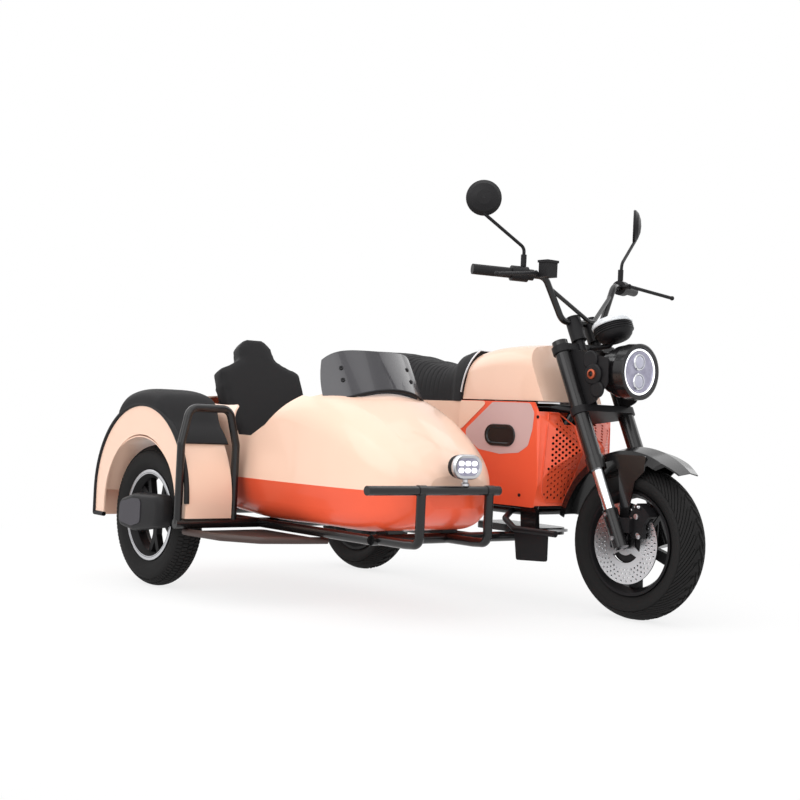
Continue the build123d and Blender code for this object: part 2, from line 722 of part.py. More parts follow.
def main_frame():
    """Head tube, two upper rails, the battery cradle and the lugs for the sidecar."""
    head_foot, head_top = on_fork(LOWER_CLAMP_H + CLAMP_T + 1, -STEER_OFFSET), on_fork(UPPER_CLAMP_H - 1, -STEER_OFFSET)
    frame = rod(head_foot, head_top, HEAD_TUBE_R)
    throat = on_fork(LOWER_CLAMP_H + CLAMP_T + 18, -STEER_OFFSET - 8)
    rail = tube(
        [throat, (1075, -80, RAIL_Z + 2), (960, -RAIL_Y, RAIL_Z), (300, -RAIL_Y, RAIL_Z), (-90, -70, RAIL_Z)], RAIL_R, 40
    )
    down = tube(
        [
            on_fork(UPPER_CLAMP_H - 120, -STEER_OFFSET - 8),
            on_fork(LOWER_CLAMP_H + 20, -STEER_OFFSET - 88, -45),
            (1085, -CRADLE_Y, 400),
            (1055, -CRADLE_Y, CRADLE_Z),
            (600, -CRADLE_Y, CRADLE_Z),
            (490, -CRADLE_Y + 5, 420),
            (430, -RAIL_Y, RAIL_Z),
        ],
        RAIL_R,
        28,
    )
    hanger = plate_y([(PIVOT_X - 25, 302), (PIVOT_X - 25, 352), (545, 410), (600, 350), (600, 302)], 8, -118, -111)
    frame += both_sides(rail + down + hanger)
    frame += rod((PIVOT_X, -118, PIVOT_Z), (PIVOT_X, 118, PIVOT_Z), CROSS_BAR_R)
    for x, y, z in [(1040, CRADLE_Y, CRADLE_Z), (790, CRADLE_Y, CRADLE_Z), (200, RAIL_Y, RAIL_Z)]:
        frame += rod((x, -y, z), (x, y, z), CROSS_BAR_R)
    top = shock_top()
    ear = plate_y([(top.X - 14, top.Z - 12), (top.X + 14, top.Z - 12), (top.X + 14, RAIL_Z), (top.X - 14, RAIL_Z)], 4, -106, -98)
    frame += both_sides(ear + rod((top.X, -100, top.Z), (top.X, top.Y - 14, top.Z), SHOCK_PIN_R))
    saddle_top = TANK_SEAM_Z - SEAT_FIT
    for x in (800, 960):
        frame += both_sides(Pos(x, -RAIL_Y + 4, (RAIL_Z + saddle_top) / 2) * Box(40, 14, saddle_top - RAIL_Z))
    lug_y = (-MOUNT_PLATE_Y - MOUNT_LUG_T, -MOUNT_PLATE_Y)
    front_lug = [(FRONT_CROSS_X - 35, 205), (FRONT_CROSS_X + 35, 205), (FRONT_CROSS_X + 25, 325), (FRONT_CROSS_X - 45, 325)]
    step_lug = [(STEP_CROSS_X - 35, 205), (STEP_CROSS_X + 40, 205), (660, 296), (660, 322), (600, 322), (STEP_CROSS_X - 35, 266)]
    for outline in (front_lug, step_lug):
        frame += plate_y(outline, 8, -lug_y[1], -lug_y[0])
    return frame - rod(head_foot - UP, head_top + UP, STEM_R + SEAT_FIT)


def swingarm():
    axle = REAR_AXLE
    arm = tube([(axle.X - 30, -ARM_Y, axle.Z), (axle.X + 60, -ARM_Y, axle.Z), (PIVOT_X - 100, -ARM_Y, PIVOT_Z), (PIVOT_X, -ARM_Y, PIVOT_Z)], 15, 60)
    bar = rod((330, -ARM_Y, 302), (330, ARM_Y, 302), 14)
    pivot = rod((PIVOT_X, -104, PIVOT_Z), (PIVOT_X, 104, PIVOT_Z), 17)
    shaft = rod(axle - SIDEWAYS * ARM_Y, axle + SIDEWAYS * ARM_Y, AXLE_R)
    foot = shock_foot()
    pin = rod((foot.X, -ARM_Y, foot.Z), (foot.X, -SHOCK_Y - 14, foot.Z), SHOCK_PIN_R)
    bore = rod((PIVOT_X, -110, PIVOT_Z), (PIVOT_X, 110, PIVOT_Z), CROSS_BAR_R + SEAT_FIT)
    return both_sides(arm + pin) + bar + pivot + shaft - bore


def shock_foot():
    return Vector(60, -SHOCK_Y, 250)


def shock_top():
    return Vector(150, -SHOCK_Y, 570)


def coil_profile(radius, wire, length, turns):
    """Zigzag outline of a coil spring, as (radius, distance) points."""
    pitch = length / turns
    points = []
    for turn in range(turns):
        points += [(radius - wire, turn * pitch), (radius, (turn + 0.3) * pitch), (radius, (turn + 0.7) * pitch)]
    return points + [(radius - wire, length)]


def shock(foot, top, radius):
    """Spring over a damper, between two eyes."""
    along = top - foot
    length = along.length
    spring = coil_profile(radius, 6, length - 100, 8)
    profile = [(0, 0), (9, 0), (9, 40), (radius - 4, 40)] + [(r, h + 50) for r, h in spring]
    profile += [(radius - 4, length - 40), (12, length - 40), (12, length), (0, length)]
    return lathe(profile, foot, along)


def rear_shocks():
    along = (shock_top() - shock_foot()).normalized() * (SHOCK_PIN_R + SEAT_FIT)
    return both_sides(shock(shock_foot() + along, shock_top() - along, 22))


def footrests():
    """Tube loops beside the cradle with a pedal plate on each."""
    loop = tube([(955, -CRADLE_Y, CRADLE_Z), (1035, -235, 292), (1110, -262, 264), (1290, -262, 264)], 10, 30)
    loop -= rod((800, -CRADLE_Y, CRADLE_Z), (1050, -CRADLE_Y, CRADLE_Z), RAIL_R)
    pedal = plate_y([(1111, 262), (1256, 262), (1256, 175), (1125, 167)], 8, -266, -258)
    return both_sides(loop + pedal)


SIDECAR_ROWS = [
    # x, half width, top, bottom, shoulder radius, bilge radius, crown
    (-180.0, 170.0, 560.0, 320.0, 60.0, 40.0, 20.0),
    (-120.0, 232.0, 630.0, 275.0, 70.0, 60.0, 20.0),
    (60.0, 266.0, 662.0, 263.0, 80.0, 70.0, 22.0),
    (450.0, 275.0, 672.0, 260.0, 90.0, 75.0, 25.0),
    (760.0, 274.0, 706.0, 257.0, 120.0, 80.0, 40.0),
    (920.0, 262.0, 668.0, 256.0, 130.0, 80.0, 50.0),
    (1060.0, 236.0, 589.0, 262.0, 120.0, 80.0, 45.0),
    (1150.0, 188.0, 515.0, 290.0, 85.0, 65.0, 30.0),
    (1206.0, 110.0, 440.0, 340.0, 38.0, 30.0, 10.0),
]


def sidecar_half(upper, inset):
    """Upper or lower half of the sidecar's body, drawn one wall further in for the inside."""
    wires = []
    last = len(SIDECAR_ROWS) - 1
    for index, (x, half_w, top, bottom, shoulder, bilge, crown) in enumerate(SIDECAR_ROWS):
        x += inset if index == 0 else (-inset if index == last else 0.0)
        half = half_w - inset
        seam = SIDECAR_SEAM_Z
        if upper:
            reach = top - inset
            points = [(-half, seam), (-half * 0.93, reach - crown), (0, reach), (half * 0.93, reach - crown), (half, seam)]
            run, turn = sqrt(crown**2 + (half * 0.93) ** 2), atan2(crown, half * 0.93)
            radii = [shoulder - inset, 0.3 * run / tan(turn), shoulder - inset]
        else:
            reach = bottom + inset
            points = [(-half, seam), (-half * 0.88, reach), (half * 0.88, reach), (half, seam)]
            radii = [bilge - inset, bilge - inset]
        wires.append(rounded_section([(x, SIDECAR_Y + y, z) for y, z in points], radii))
    return Solid.make_loft(wires, False)


def cockpit_cut():
    """Space taken out of the upper half: the stepped side line and the round-fronted opening."""
    side = plate_y(
        [(300, 640), (340, 612), (362, 560), (392, 524), (480, 524), (560, 562), (650, 630), (740, 690), (740, 900), (300, 900)],
        12,
        SIDECAR_Y - 400,
        SIDECAR_Y + 400,
    )
    top = plate_z([(10, -220), (740, -220), (870, -120), (870, 120), (740, 220), (10, 220)], 40, 470, 900)
    return side + Pos(0, SIDECAR_Y, 0) * top


def sidecar_body_upper():
    return sidecar_half(True, 0) - sidecar_half(True, SIDECAR_WALL) - cockpit_cut()


def sidecar_body_lower():
    return sidecar_half(False, 0) - sidecar_half(False, SIDECAR_WALL)


def sidecar_seat_cushion():
    """Padded bench on the floor of the tub."""
    outline = [(130, 250), (640, 250), (660, 420), (640, 440), (250, 412), (130, 412)]
    bench = plate_y(outline, 12, SIDECAR_Y - 205, SIDECAR_Y + 205)
    seam = SIDECAR_SEAM_Z
    low = bench & (Pos(400, SIDECAR_Y, seam / 2) * Box(1000, 900, seam))
    high = bench & (Pos(400, SIDECAR_Y, seam * 1.5) * Box(1000, 900, seam))
    return (low & sidecar_half(False, SIDECAR_WALL + SEAT_FIT)) + high


def sidecar_seat_back():
    lean = Vector(-0.413, 0, 0.911)
    normal = Vector(0.911, 0, 0.413)
    half_outline = [(140, -50), (205, 170), (215, 260), (208, 330), (150, 352), (96, 378), (84, 430), (50, 459)]
    points = half_outline + [(-y, v) for y, v in reversed(half_outline)]
    wire = FilletPolyline(*points, radius=18, close=True)
    base = Plane(origin=(212, SIDECAR_Y, 455), x_dir=(0, 1, 0), z_dir=normal)
    return base * extrude(Face(wire), amount=-60) - Pos(0, 0, SEAT_FIT) * sidecar_seat_cushion()


def windscreen():
    """Curved screen leaning back over the cockpit."""
    front_x, end_x, half, low = 975.0, 850.0, SCREEN_HALF_W, 560.0
    lean = Vector(-sin(radians(SCREEN_LEAN)), 0, cos(radians(SCREEN_LEAN)))
    thick = SCREEN_T / cos(radians(SCREEN_LEAN))
    outer = ThreePointArc((end_x, -half, low), (front_x, 0, low), (end_x, half, low))
    inner = ThreePointArc((end_x - thick, -half, low), (front_x - thick, 0, low), (end_x - thick, half, low))
    ends = [Line(outer @ 0, inner @ 0), Line(outer @ 1, inner @ 1)]
    sheet = extrude(make_face([outer, inner] + ends), amount=400, dir=lean)
    outline = [(-half, 560), (half, 560), (half, 790), (110, SCREEN_TOP_Z), (-110, SCREEN_TOP_Z), (-half, 790)]
    wire = FilletPolyline(*[(600, y, z) for y, z in outline], radius=28, close=True)
    front_view = extrude(Face(wire), amount=500, dir=(1, 0, 0))
    return Pos(0, SIDECAR_Y, 0) * (sheet & front_view) - sidecar_half(True, -SEAT_FIT)


def bumper_bar():
    """Bumper tube on two bent posts, with a collar where each post is welded on."""
    bar = rod((1250, -985, 397), (1250, -475, 397), BUMPER_R)
    for y in (-784, -515):
        bar += tube([(1250, y, 397), (1250, y, 240), (1190, y, FRAME_Z), (FRONT_CROSS_X, y, FRAME_Z)], BUMPER_R, 24)
        bar += rod((1250, y - 15, 397), (1250, y + 15, 397), BUMPER_R + 2)
    return bar - front_cross()


def bumper_lamp():
    body = plate_x_oval(1236, 1274, SIDECAR_Y - 10, 461, 105, 68)
    stem = rod((1250, SIDECAR_Y - 10, 397 + 14 + SEAT_FIT), (1250, SIDECAR_Y - 10, 440), 9)
    return body + stem


def plate_x_oval(x0, x1, y, z, width, height):
    sketch = SlotOverall(width, height)
    return Plane(origin=(x0, y, z), x_dir=(0, 1, 0), z_dir=(1, 0, 0)) * extrude(sketch, amount=x1 - x0)


def front_cross():
    return rod((FRONT_CROSS_X, MOUNT_PLATE_Y - MOUNT_PLATE_T, FRAME_Z), (FRONT_CROSS_X, FRAME_OUTER_Y, FRAME_Z), FRAME_TUBE_R)


def step_cross():
    return rod((STEP_CROSS_X, MOUNT_PLATE_Y - MOUNT_PLATE_T, FRAME_Z), (STEP_CROSS_X, OUTRIGGER_END_Y, FRAME_Z), FRAME_TUBE_R)


def sidecar_frame():
    """Ladder frame under the sidecar, reaching out to the wheel arm and across to the motorcycle."""
    frame = front_cross() + step_cross()
    frame += rod((REAR_CROSS_X, FRAME_INNER_Y, FRAME_Z), (REAR_CROSS_X, FRAME_OUTER_Y, FRAME_Z), FRAME_TUBE_R)
    for y in (FRAME_INNER_Y, FRAME_OUTER_Y):
        frame += rod((REAR_CROSS_X, y, FRAME_Z), (FRONT_CROSS_X, y, FRAME_Z), FRAME_TUBE_R - 1)
    for x in (FRONT_CROSS_X, STEP_CROSS_X):
        flange = [(x - 32, 206), (x + 32, 206), (x + 32, 266), (x - 32, 266)]
        frame += plate_y(flange, 8, MOUNT_PLATE_Y - MOUNT_PLATE_T, MOUNT_PLATE_Y)
    post_y, post_z = SIDE_SHOCK_Y + 3, SKIRT_CENTRE_Z + SKIRT_R - POST_R
    frame += tube([(300, FRAME_OUTER_Y, FRAME_Z), (300, post_y, FRAME_Z), (300, post_y, post_z), (190, post_y, post_z)], POST_R, 24)
    pads = [Pos(x, SIDECAR_Y + y, 258) * Box(60, 60, 36) for x in (STEP_CROSS_X, FRONT_CROSS_X - 30) for y in (-110, 110)]
    pads += [Pos(REAR_CROSS_X, SIDECAR_Y + y, 262) * Box(40, 60, 44) for y in (-110, 110)]
    tub = sidecar_half(False, -SEAT_FIT)
    for pad in pads:
        frame += pad - tub
    return frame


def footboard():
    """Step plate with a tube edge, outside the body."""
    outline = [(444, -1082), (638, -1071), (749, -996), (785, -868), (803, -780), (444, -780)]
    level = FRAME_Z - FRAME_TUBE_R - SEAT_FIT - 11
    board = plate_z(outline, 20, level - 2, level + 2)
    points = [(x, y, level) for x, y in outline[:5]]
    return board + tube(points, 11, 30)


def fender_hoop():
    outer, inner = HOOP_OUTER_Y, HOOP_INNER_Y
    places = [(outer, FRAME_Z), (outer, 490), (outer + 26, 606), (inner - 30, 606), (inner, 490), (inner, FRAME_Z)]
    points = [(STEP_CROSS_X, y, z) for y, z in places]
    return tube(points, 13, 34) - step_cross()


def arch_outline(radius, centre_z, foot_z):
    """Arch face in a side view: straight legs under a half circle."""
    left, right = (SKIRT_X - radius, centre_z), (SKIRT_X + radius, centre_z)
    return [
        Line((right[0], foot_z), right),
        ThreePointArc(right, (SKIRT_X, centre_z + radius), left),
        Line(left, (left[0], foot_z)),
        Line((left[0], foot_z), (right[0], foot_z)),
    ]


def arch_solid(radius, centre_z, foot_z, y0, y1):
    face = Plane(origin=(0, y1, 0), x_dir=(1, 0, 0), z_dir=(0, -1, 0)) * make_face(arch_outline(radius, centre_z, foot_z))
    return extrude(face, amount=y1 - y0)


def sidecar_fender():
    """Outer skirt with its roof, and the guard that hugs the wheel."""
    skirt = arch_solid(SKIRT_R, SKIRT_CENTRE_Z, SKIRT_FOOT_Z, SKIRT_Y - 3, SKIRT_Y + 3)
    skirt -= arch_solid(SKIRT_OPENING_R, SKIRT_OPENING_Z, SKIRT_FOOT_Z - 5, SKIRT_Y - 20, SKIRT_Y + 20)
    roof = arch_solid(SKIRT_R, SKIRT_CENTRE_Z, SKIRT_FOOT_Z, SKIRT_Y, -930)
    roof -= arch_solid(SKIRT_R - GUARD_T, SKIRT_CENTRE_Z, SKIRT_FOOT_Z - 5, SKIRT_Y - 20, -900)
    guard = lathe_y([(GUARD_R, 0), (GUARD_R, 135), (GUARD_R + GUARD_T, 135), (GUARD_R + GUARD_T, 0)], Vector(SIDE_WHEEL_X, SKIRT_Y, SIDE_TYRE_D / 2), arc=152.0, start=13.0)
    keep = Pos(SKIRT_X, -1000, 500) * Box(2 * SKIRT_R - 2, 400, 1000)
    foot_z = FRAME_Z + FRAME_TUBE_R + SEAT_FIT
    foot = Pos(SKIRT_X + SKIRT_R, -1000, foot_z - 50) * Box(200, 400, 100)
    return skirt + roof + (guard & keep) - foot


def armrest_pad():
    level = SKIRT_CENTRE_Z + SKIRT_R + SEAT_FIT
    return plate_y([(-40, level), (250, level), (270, level + 20), (255, level + 52), (-40, level + 52), (-60, level + 20)], 14, -1110, -880)


def sidecar_arm():
    """Trailing arm inside the wheel with the stub axle and the outer bar."""
    axle = Vector(SIDE_AXLE.X, SIDE_AXLE.Y, SIDE_AXLE.Z)
    rear = axle.X - 22
    outline = [(rear, axle.Z - 22), (rear, axle.Z + 22), (240, 262), (458, 250), (458, 222), (240, 214)]
    arm = plate_y(outline, 8, -946, -934) + plate_y(outline, 8, ARM_OUTER_Y, ARM_OUTER_Y + 10)
    arm += rod((axle.X, -1090, axle.Z), (axle.X, -940, axle.Z), AXLE_R)
    arm += rod((428, ARM_OUTER_Y, FRAME_Z), (428, -934, FRAME_Z), 8)
    arm += rod((SIDE_SHOCK_X, -940, FRAME_Z), (SIDE_SHOCK_X, -896, FRAME_Z), SHOCK_PIN_R)
    saddle = rod((STEP_CROSS_X, OUTRIGGER_END_Y, FRAME_Z), (STEP_CROSS_X, FRAME_OUTER_Y, FRAME_Z), FRAME_TUBE_R + SEAT_FIT)
    return arm - saddle


def arm_cover():
    """Moulded cover over the outer bar and the wheel's hub."""
    return plate_y([(91, 200), (96, 290), (200, 318), (385, 322), (385, 215), (200, 187)], 18, -RIGHT_END, ARM_OUTER_Y - SEAT_FIT)


def sidecar_shock():
    foot = Vector(SIDE_SHOCK_X, SIDE_SHOCK_Y, FRAME_Z + SHOCK_PIN_R + SEAT_FIT)
    top = Vector(SIDE_SHOCK_X, SIDE_SHOCK_Y, SKIRT_CENTRE_Z + SKIRT_R - 2 * POST_R - SEAT_FIT)
    return shock(foot, top, 20)


NODES = {
    "front_tyre": front_tyre,
    "rear_tyre": rear_tyre,
    "sidecar_tyre": sidecar_tyre,
    "front_rim": front_rim,
    "rear_rim": rear_rim,
    "sidecar_rim": sidecar_rim,
    "brake_disc": brake_disc,
    "fork_tubes": fork_tubes,
    "fork_stanchions": fork_stanchions,
    "fork_lowers": fork_lowers,
    "fork_clamps": fork_clamps,
    "handlebar": handlebar,
    "hand_controls": hand_controls,
    "mirrors": mirrors,
    "headlamp_shell": headlamp_shell,
    "headlamp_lens": headlamp_lens,
    "gauge": gauge,
    "front_fender": front_fender,
    "brake_caliper": brake_caliper,
    "main_frame": main_frame,
    "battery_block": battery_block,
    "side_cover_right": side_cover_right,
    "side_cover_left": side_cover_left,
    "front_grille": front_grille,
    "tank_cover": tank_cover,
    "seat": seat,
    "tail_cover": tail_cover,
    "tail_lamp": tail_lamp,
    "rear_fender": rear_fender,
    "swingarm": swingarm,
    "rear_shocks": rear_shocks,
    "footrests": footrests,
    "sidecar_frame": sidecar_frame,
    "footboard": footboard,
    "sidecar_body_upper": sidecar_body_upper,
    "sidecar_body_lower": sidecar_body_lower,
    "sidecar_seat_cushion": sidecar_seat_cushion,
    "sidecar_seat_back": sidecar_seat_back,
    "windscreen": windscreen,
    "bumper_bar": bumper_bar,
    "bumper_lamp": bumper_lamp,
    "fender_hoop": fender_hoop,
    "sidecar_fender": sidecar_fender,
    "armrest_pad": armrest_pad,
    "sidecar_arm": sidecar_arm,
    "arm_cover": arm_cover,
    "sidecar_shock": sidecar_shock,
}

REAR_END = REAR_TYRE_D / 2 + 26
ORIGIN_X = (WHEELBASE + FRONT_TYRE_D / 2 - REAR_END) / 2
ORIGIN_Y = (LEVER_TIP[1] + 8 - RIGHT_END) / 2


def main():
    os.makedirs("parts", exist_ok=True)
    for name, make in NODES.items():
        shape = Pos(-ORIGIN_X, -ORIGIN_Y, 0) * make()
        export_step(shape, f"parts/{name}.step")


main()
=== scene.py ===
import math

import bpy
import bmesh
from mathutils import Matrix, Vector
from mathutils.bvhtree import BVHTree


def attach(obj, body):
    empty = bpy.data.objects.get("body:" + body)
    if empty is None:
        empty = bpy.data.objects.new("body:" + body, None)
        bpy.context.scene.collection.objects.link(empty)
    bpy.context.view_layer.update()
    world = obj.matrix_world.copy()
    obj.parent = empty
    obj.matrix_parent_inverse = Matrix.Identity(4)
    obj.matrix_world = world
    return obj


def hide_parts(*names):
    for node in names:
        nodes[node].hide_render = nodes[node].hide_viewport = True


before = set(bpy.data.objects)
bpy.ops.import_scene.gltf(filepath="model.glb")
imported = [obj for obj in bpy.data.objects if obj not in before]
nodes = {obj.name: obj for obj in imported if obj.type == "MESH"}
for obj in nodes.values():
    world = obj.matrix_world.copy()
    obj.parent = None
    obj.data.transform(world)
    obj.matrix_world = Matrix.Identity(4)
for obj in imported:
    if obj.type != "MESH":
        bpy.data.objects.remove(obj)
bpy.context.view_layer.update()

# The vehicle's own frame in millimetres: x forward from the rear axle, y left of the middle plane, z up.
ORIGIN_X, ORIGIN_Y = 687.0, -355.5
SIDEWAYS = Vector((0.0, 1.0, 0.0))
UPWARDS = Vector((0.0, 0.0, 1.0))
SIDES = (-1, 1)
RAKE = math.radians(25.0)
FRONT_AXLE = Vector((1400.0, 0.0, 243.0))
REAR_AXLE = Vector((0.0, 0.0, 243.0))
SIDE_AXLE = Vector((160.0, -1018.0, 238.0))
UP_FORK = Vector((-math.sin(RAKE), 0.0, math.cos(RAKE)))
LEG_FOOT = FRONT_AXLE + Vector((math.cos(RAKE), 0.0, math.sin(RAKE))) * 17.0
SIDECAR_Y = -605.0


def at(x, y, z):
    """A point of the vehicle in metres, in the shared frame."""
    return Vector(((x - ORIGIN_X) / 1000, (y - ORIGIN_Y) / 1000, z / 1000))


EYE = at(4195.0, -3316.0, 608.0)


def place_camera():
    """Camera at the photograph's view."""
    place = Matrix.Translation(EYE)
    for degrees, axis in ((50.4, "Z"), (90.7, "X"), (2.6, "Z")):
        place = place @ Matrix.Rotation(math.radians(degrees), 4, axis)
    lens = bpy.data.cameras.new("camera")
    lens.lens = 60.57
    lens.sensor_width = 36.0
    camera = bpy.data.objects.new("camera", lens)
    camera.matrix_world = place
    bpy.context.scene.collection.objects.link(camera)
    bpy.context.scene.camera = camera


place_camera()


# Node trees
def wire(tree, target, inputs):
    """Sets a node's inputs, each to a value or to another node's output."""
    for label, value in inputs.items():
        if isinstance(value, bpy.types.NodeSocket):
            tree.links.new(value, target.inputs[label])
        else:
            target.inputs[label].default_value = value
    return target


def add_node(tree, kind, inputs, **settings):
    made = tree.nodes.new(kind)
    for label, value in settings.items():
        setattr(made, label, value)
    return wire(tree, made, inputs)


def calculated(tree, operation, *values):
    inputs = dict(enumerate(values))
    return add_node(tree, "ShaderNodeMath", inputs, operation=operation).outputs[0]


def noise(tree, place, scale):
    inputs = {"Vector": place, "Scale": scale, "Detail": 3.0}
    return add_node(tree, "ShaderNodeTexNoise", inputs).outputs["Fac"]


def ramp(tree, factor, low, high):
    """Colour between two colours."""
    made = add_node(tree, "ShaderNodeValToRGB", {"Fac": factor})
    made.color_ramp.elements[0].color = (*low, 1)
    made.color_ramp.elements[1].color = (*high, 1)
    return made.outputs["Color"]


def bump(tree, distance, strength, height):
    inputs = {"Distance": distance, "Strength": strength, "Height": height}
    return add_node(tree, "ShaderNodeBump", inputs).outputs["Normal"]


def group(kind, name, inputs, outputs):
    """A new node group with its named sockets, what it is given and its end node."""
    tree = bpy.data.node_groups.new(name, kind + "NodeTree")
    for direction, sockets in (("INPUT", inputs), ("OUTPUT", outputs)):
        for label, sort in sockets.items():
            tree.interface.new_socket(label, in_out=direction, socket_type="NodeSocket" + sort)
    return tree, tree.nodes.new("NodeGroupInput").outputs, tree.nodes.new("NodeGroupOutput")


# Shader groups and materials
def make_surface_group():
    """Slow colour drift and a fine relief, for paint, plastic and metal."""
    inputs = {"Place": "Vector", "Colour": "Color", "Second Colour": "Color"}
    for label in ("Drift Scale", "Roughness", "Roughness Spread", "Relief Scale", "Relief"):
        inputs[label] = "Float"
    outputs = {"Colour": "Color", "Roughness": "Float", "Normal": "Vector"}
    tree, given, end = group("Shader", "surface finish", inputs, outputs)
    drift = noise(tree, given["Place"], given["Drift Scale"])
    fine = noise(tree, given["Place"], given["Relief Scale"])
    colours = {"Factor": drift, "A": given["Colour"], "B": given["Second Colour"]}
    mix = add_node(tree, "ShaderNodeMix", colours, data_type="RGBA")
    rough = calculated(tree, "MULTIPLY_ADD", drift, given["Roughness Spread"], given["Roughness"])
    normal = bump(tree, 0.001, given["Relief"], fine)
    wire(tree, end, {"Colour": mix.outputs["Result"], "Roughness": rough, "Normal": normal})
    return tree


def make_grain_group():
    """Leathery cells with fine creases, for vinyl and moulded plastic."""
    inputs = {"Place": "Vector", "Cell Scale": "Float", "Depth": "Float"}
    tree, given, end = group("Shader", "grain", inputs, {"Cells": "Float", "Normal": "Vector"})
    inputs = {"Vector": given["Place"], "Scale": given["Cell Scale"]}
    voronoi = add_node(tree, "ShaderNodeTexVoronoi", inputs, feature="DISTANCE_TO_EDGE")
    cells = voronoi.outputs["Distance"]
    wire(tree, end, {"Cells": cells, "Normal": bump(tree, 0.0015, given["Depth"], cells)})
    return tree


SURFACE = make_surface_group()
GRAIN = make_grain_group()


def blank_material(name):
    """A material with its tree, its shader and the place on the piece."""
    material = bpy.data.materials.new(name)
    material.use_nodes = True
    tree = material.node_tree
    place = tree.nodes.new("ShaderNodeTexCoord").outputs["Object"]
    return material, tree, tree.nodes["Principled BSDF"], place


def effect(tree, shared, place, values):
    """What a shared shader group puts out for a material's own values."""
    made = tree.nodes.new("ShaderNodeGroup")
    made.node_tree = shared
    return wire(tree, made, {"Place": place, **values}).outputs


def coated(
    name, colour, second, rough,
    coat=0.0, metallic=0.0, relief=0.03, gloss=0.5, scale=260.0, drift=5.0, spread=0.08, grain=None,
):
    """Paint, plastic or metal: the surface group and a clear coat for paint or the grain group's cells."""
    material, tree, shader, place = blank_material(name)
    values = {
        "Colour": (*colour, 1),
        "Second Colour": (*second, 1),
        "Drift Scale": drift,
        "Roughness": rough,
        "Roughness Spread": spread,
        "Relief Scale": scale,
        "Relief": relief,
    }
    surface = effect(tree, SURFACE, place, values)
    relieved = effect(tree, GRAIN, place, grain) if grain else surface
    values = {
        "Base Color": surface["Colour"],
        "Roughness": surface["Roughness"],
        "Normal": relieved["Normal"],
        "Metallic": metallic,
        "Coat Weight": coat,
        "Coat Roughness": 0.04,
        "Specular IOR Level": gloss,
    }
    wire(tree, shader, values)
    return material


def grained(name, colour, second, rough, cell, depth, gloss=0.2):
    """Vinyl, rubber or moulded plastic with a grain."""
    grain = {"Cell Scale": cell, "Depth": depth}
    return coated(name, colour, second, rough, 0, 0, 0, gloss, 300.0, 6.0, 0.1, grain)


def glowing(name, colour, strength):
    material, tree, shader, place = blank_material(name)
    lit = ramp(tree, noise(tree, place, 90.0), [channel * 0.85 for channel in colour], colour)
    wire(tree, shader, {"Base Color": lit, "Emission Color": lit, "Emission Strength": strength})
    return material


CREAM = coated("cream gloss paint", (0.90, 0.62, 0.48), (0.85, 0.56, 0.42), 0.30, 0.4, gloss=0.4)
CORAL = coated("coral gloss paint", (0.88, 0.115, 0.045), (0.80, 0.095, 0.038), 0.32, 0.25, gloss=0.3)
PALE_PINK = coated("pale pink paint", (0.62, 0.43, 0.41), (0.56, 0.38, 0.37), 0.34, 0.2, gloss=0.3)
BLACK_PAINT = coated("black gloss", (0.005, 0.005, 0.005), (0.009, 0.008, 0.009), 0.22, 0.25, gloss=0.3)
BLACK_SATIN = coated("black satin paint", (0.006, 0.006, 0.007), (0.011, 0.010, 0.011), 0.45, 0, 0, 0.10, 0.2)
BLACK_MOULDED = grained("black plastic", (0.008, 0.008, 0.009), (0.013, 0.012, 0.013), 0.48, 700.0, 0.12)
# Lighter grey copy of the black moulded plastic: a painted sheen, for the bright rear part of the arm cover.
PAINTED_SHEEN_MOULDED = grained("painted sheen on black plastic", (0.045, 0.042, 0.050), (0.060, 0.056, 0.066), 0.40, 700.0, 0.10)
VINYL = grained("black vinyl", (0.008, 0.008, 0.009), (0.013, 0.012, 0.013), 0.58, 520.0, 0.30, 0.18)
RUBBER = grained("tyre rubber", (0.011, 0.011, 0.011), (0.018, 0.017, 0.017), 0.72, 900.0, 0.10, 0.15)
CHROME = coated("chrome", (0.75, 0.76, 0.78), (0.68, 0.69, 0.71), 0.10, 0, 1, 0.01)
STEEL = coated("bare steel", (0.52, 0.52, 0.53), (0.42, 0.42, 0.43), 0.30, 0, 1, 0.15, scale=900.0)
DISC_STEEL = coated("ground steel", (0.70, 0.70, 0.72), (0.60, 0.60, 0.62), 0.24, 0, 1, 0.1, scale=900.0)
ALUMINIUM = coated("machined aluminium", (0.62, 0.62, 0.64), (0.50, 0.50, 0.52), 0.26, 0, 1, 0.1)
PIPING = coated("silver piping", (0.70, 0.70, 0.72), (0.60, 0.60, 0.62), 0.32, 0, 0.6, 0.05)
BROWN_PLATE = coated("dark brown plate", (0.055, 0.030, 0.024), (0.040, 0.022, 0.018), 0.48, 0, 0, 0.25)
COPPER = coated("copper orange anodised", (0.45, 0.10, 0.045), (0.36, 0.075, 0.035), 0.34, 0, 0.7)
RED_LENS = coated("red lamp lens", (0.42, 0.010, 0.010), (0.36, 0.008, 0.008), 0.15, 0.8)
PALE_DIAL = coated("pale dial glass", (0.70, 0.72, 0.74), (0.62, 0.64, 0.67), 0.12, 0.8)
SMOKED = coated("smoked acrylic", (0.040, 0.038, 0.044), (0.028, 0.027, 0.031), 0.20, 0.35, 0, 0, 0.4)
MIRROR = coated("silvered mirror glass", (0.86, 0.87, 0.88), (0.82, 0.83, 0.85), 0.02, 0, 1, 0, spread=0.01)
PROJECTOR = coated("projector lens", (0.55, 0.55, 0.66), (0.40, 0.40, 0.50), 0.08, 1.0, 0, 0)
REFLECTOR = coated(
    "lamp reflector", (0.55, 0.54, 0.66), (0.18, 0.17, 0.24), 0.25,
    metallic=0.7, relief=0.5, scale=60.0, drift=38.0,
)
HALO = glowing("lit halo ring", (0.95, 0.96, 1.0), 1.1)
LED_CELL = glowing("lamp cells", (1.0, 1.0, 1.0), 1.0)

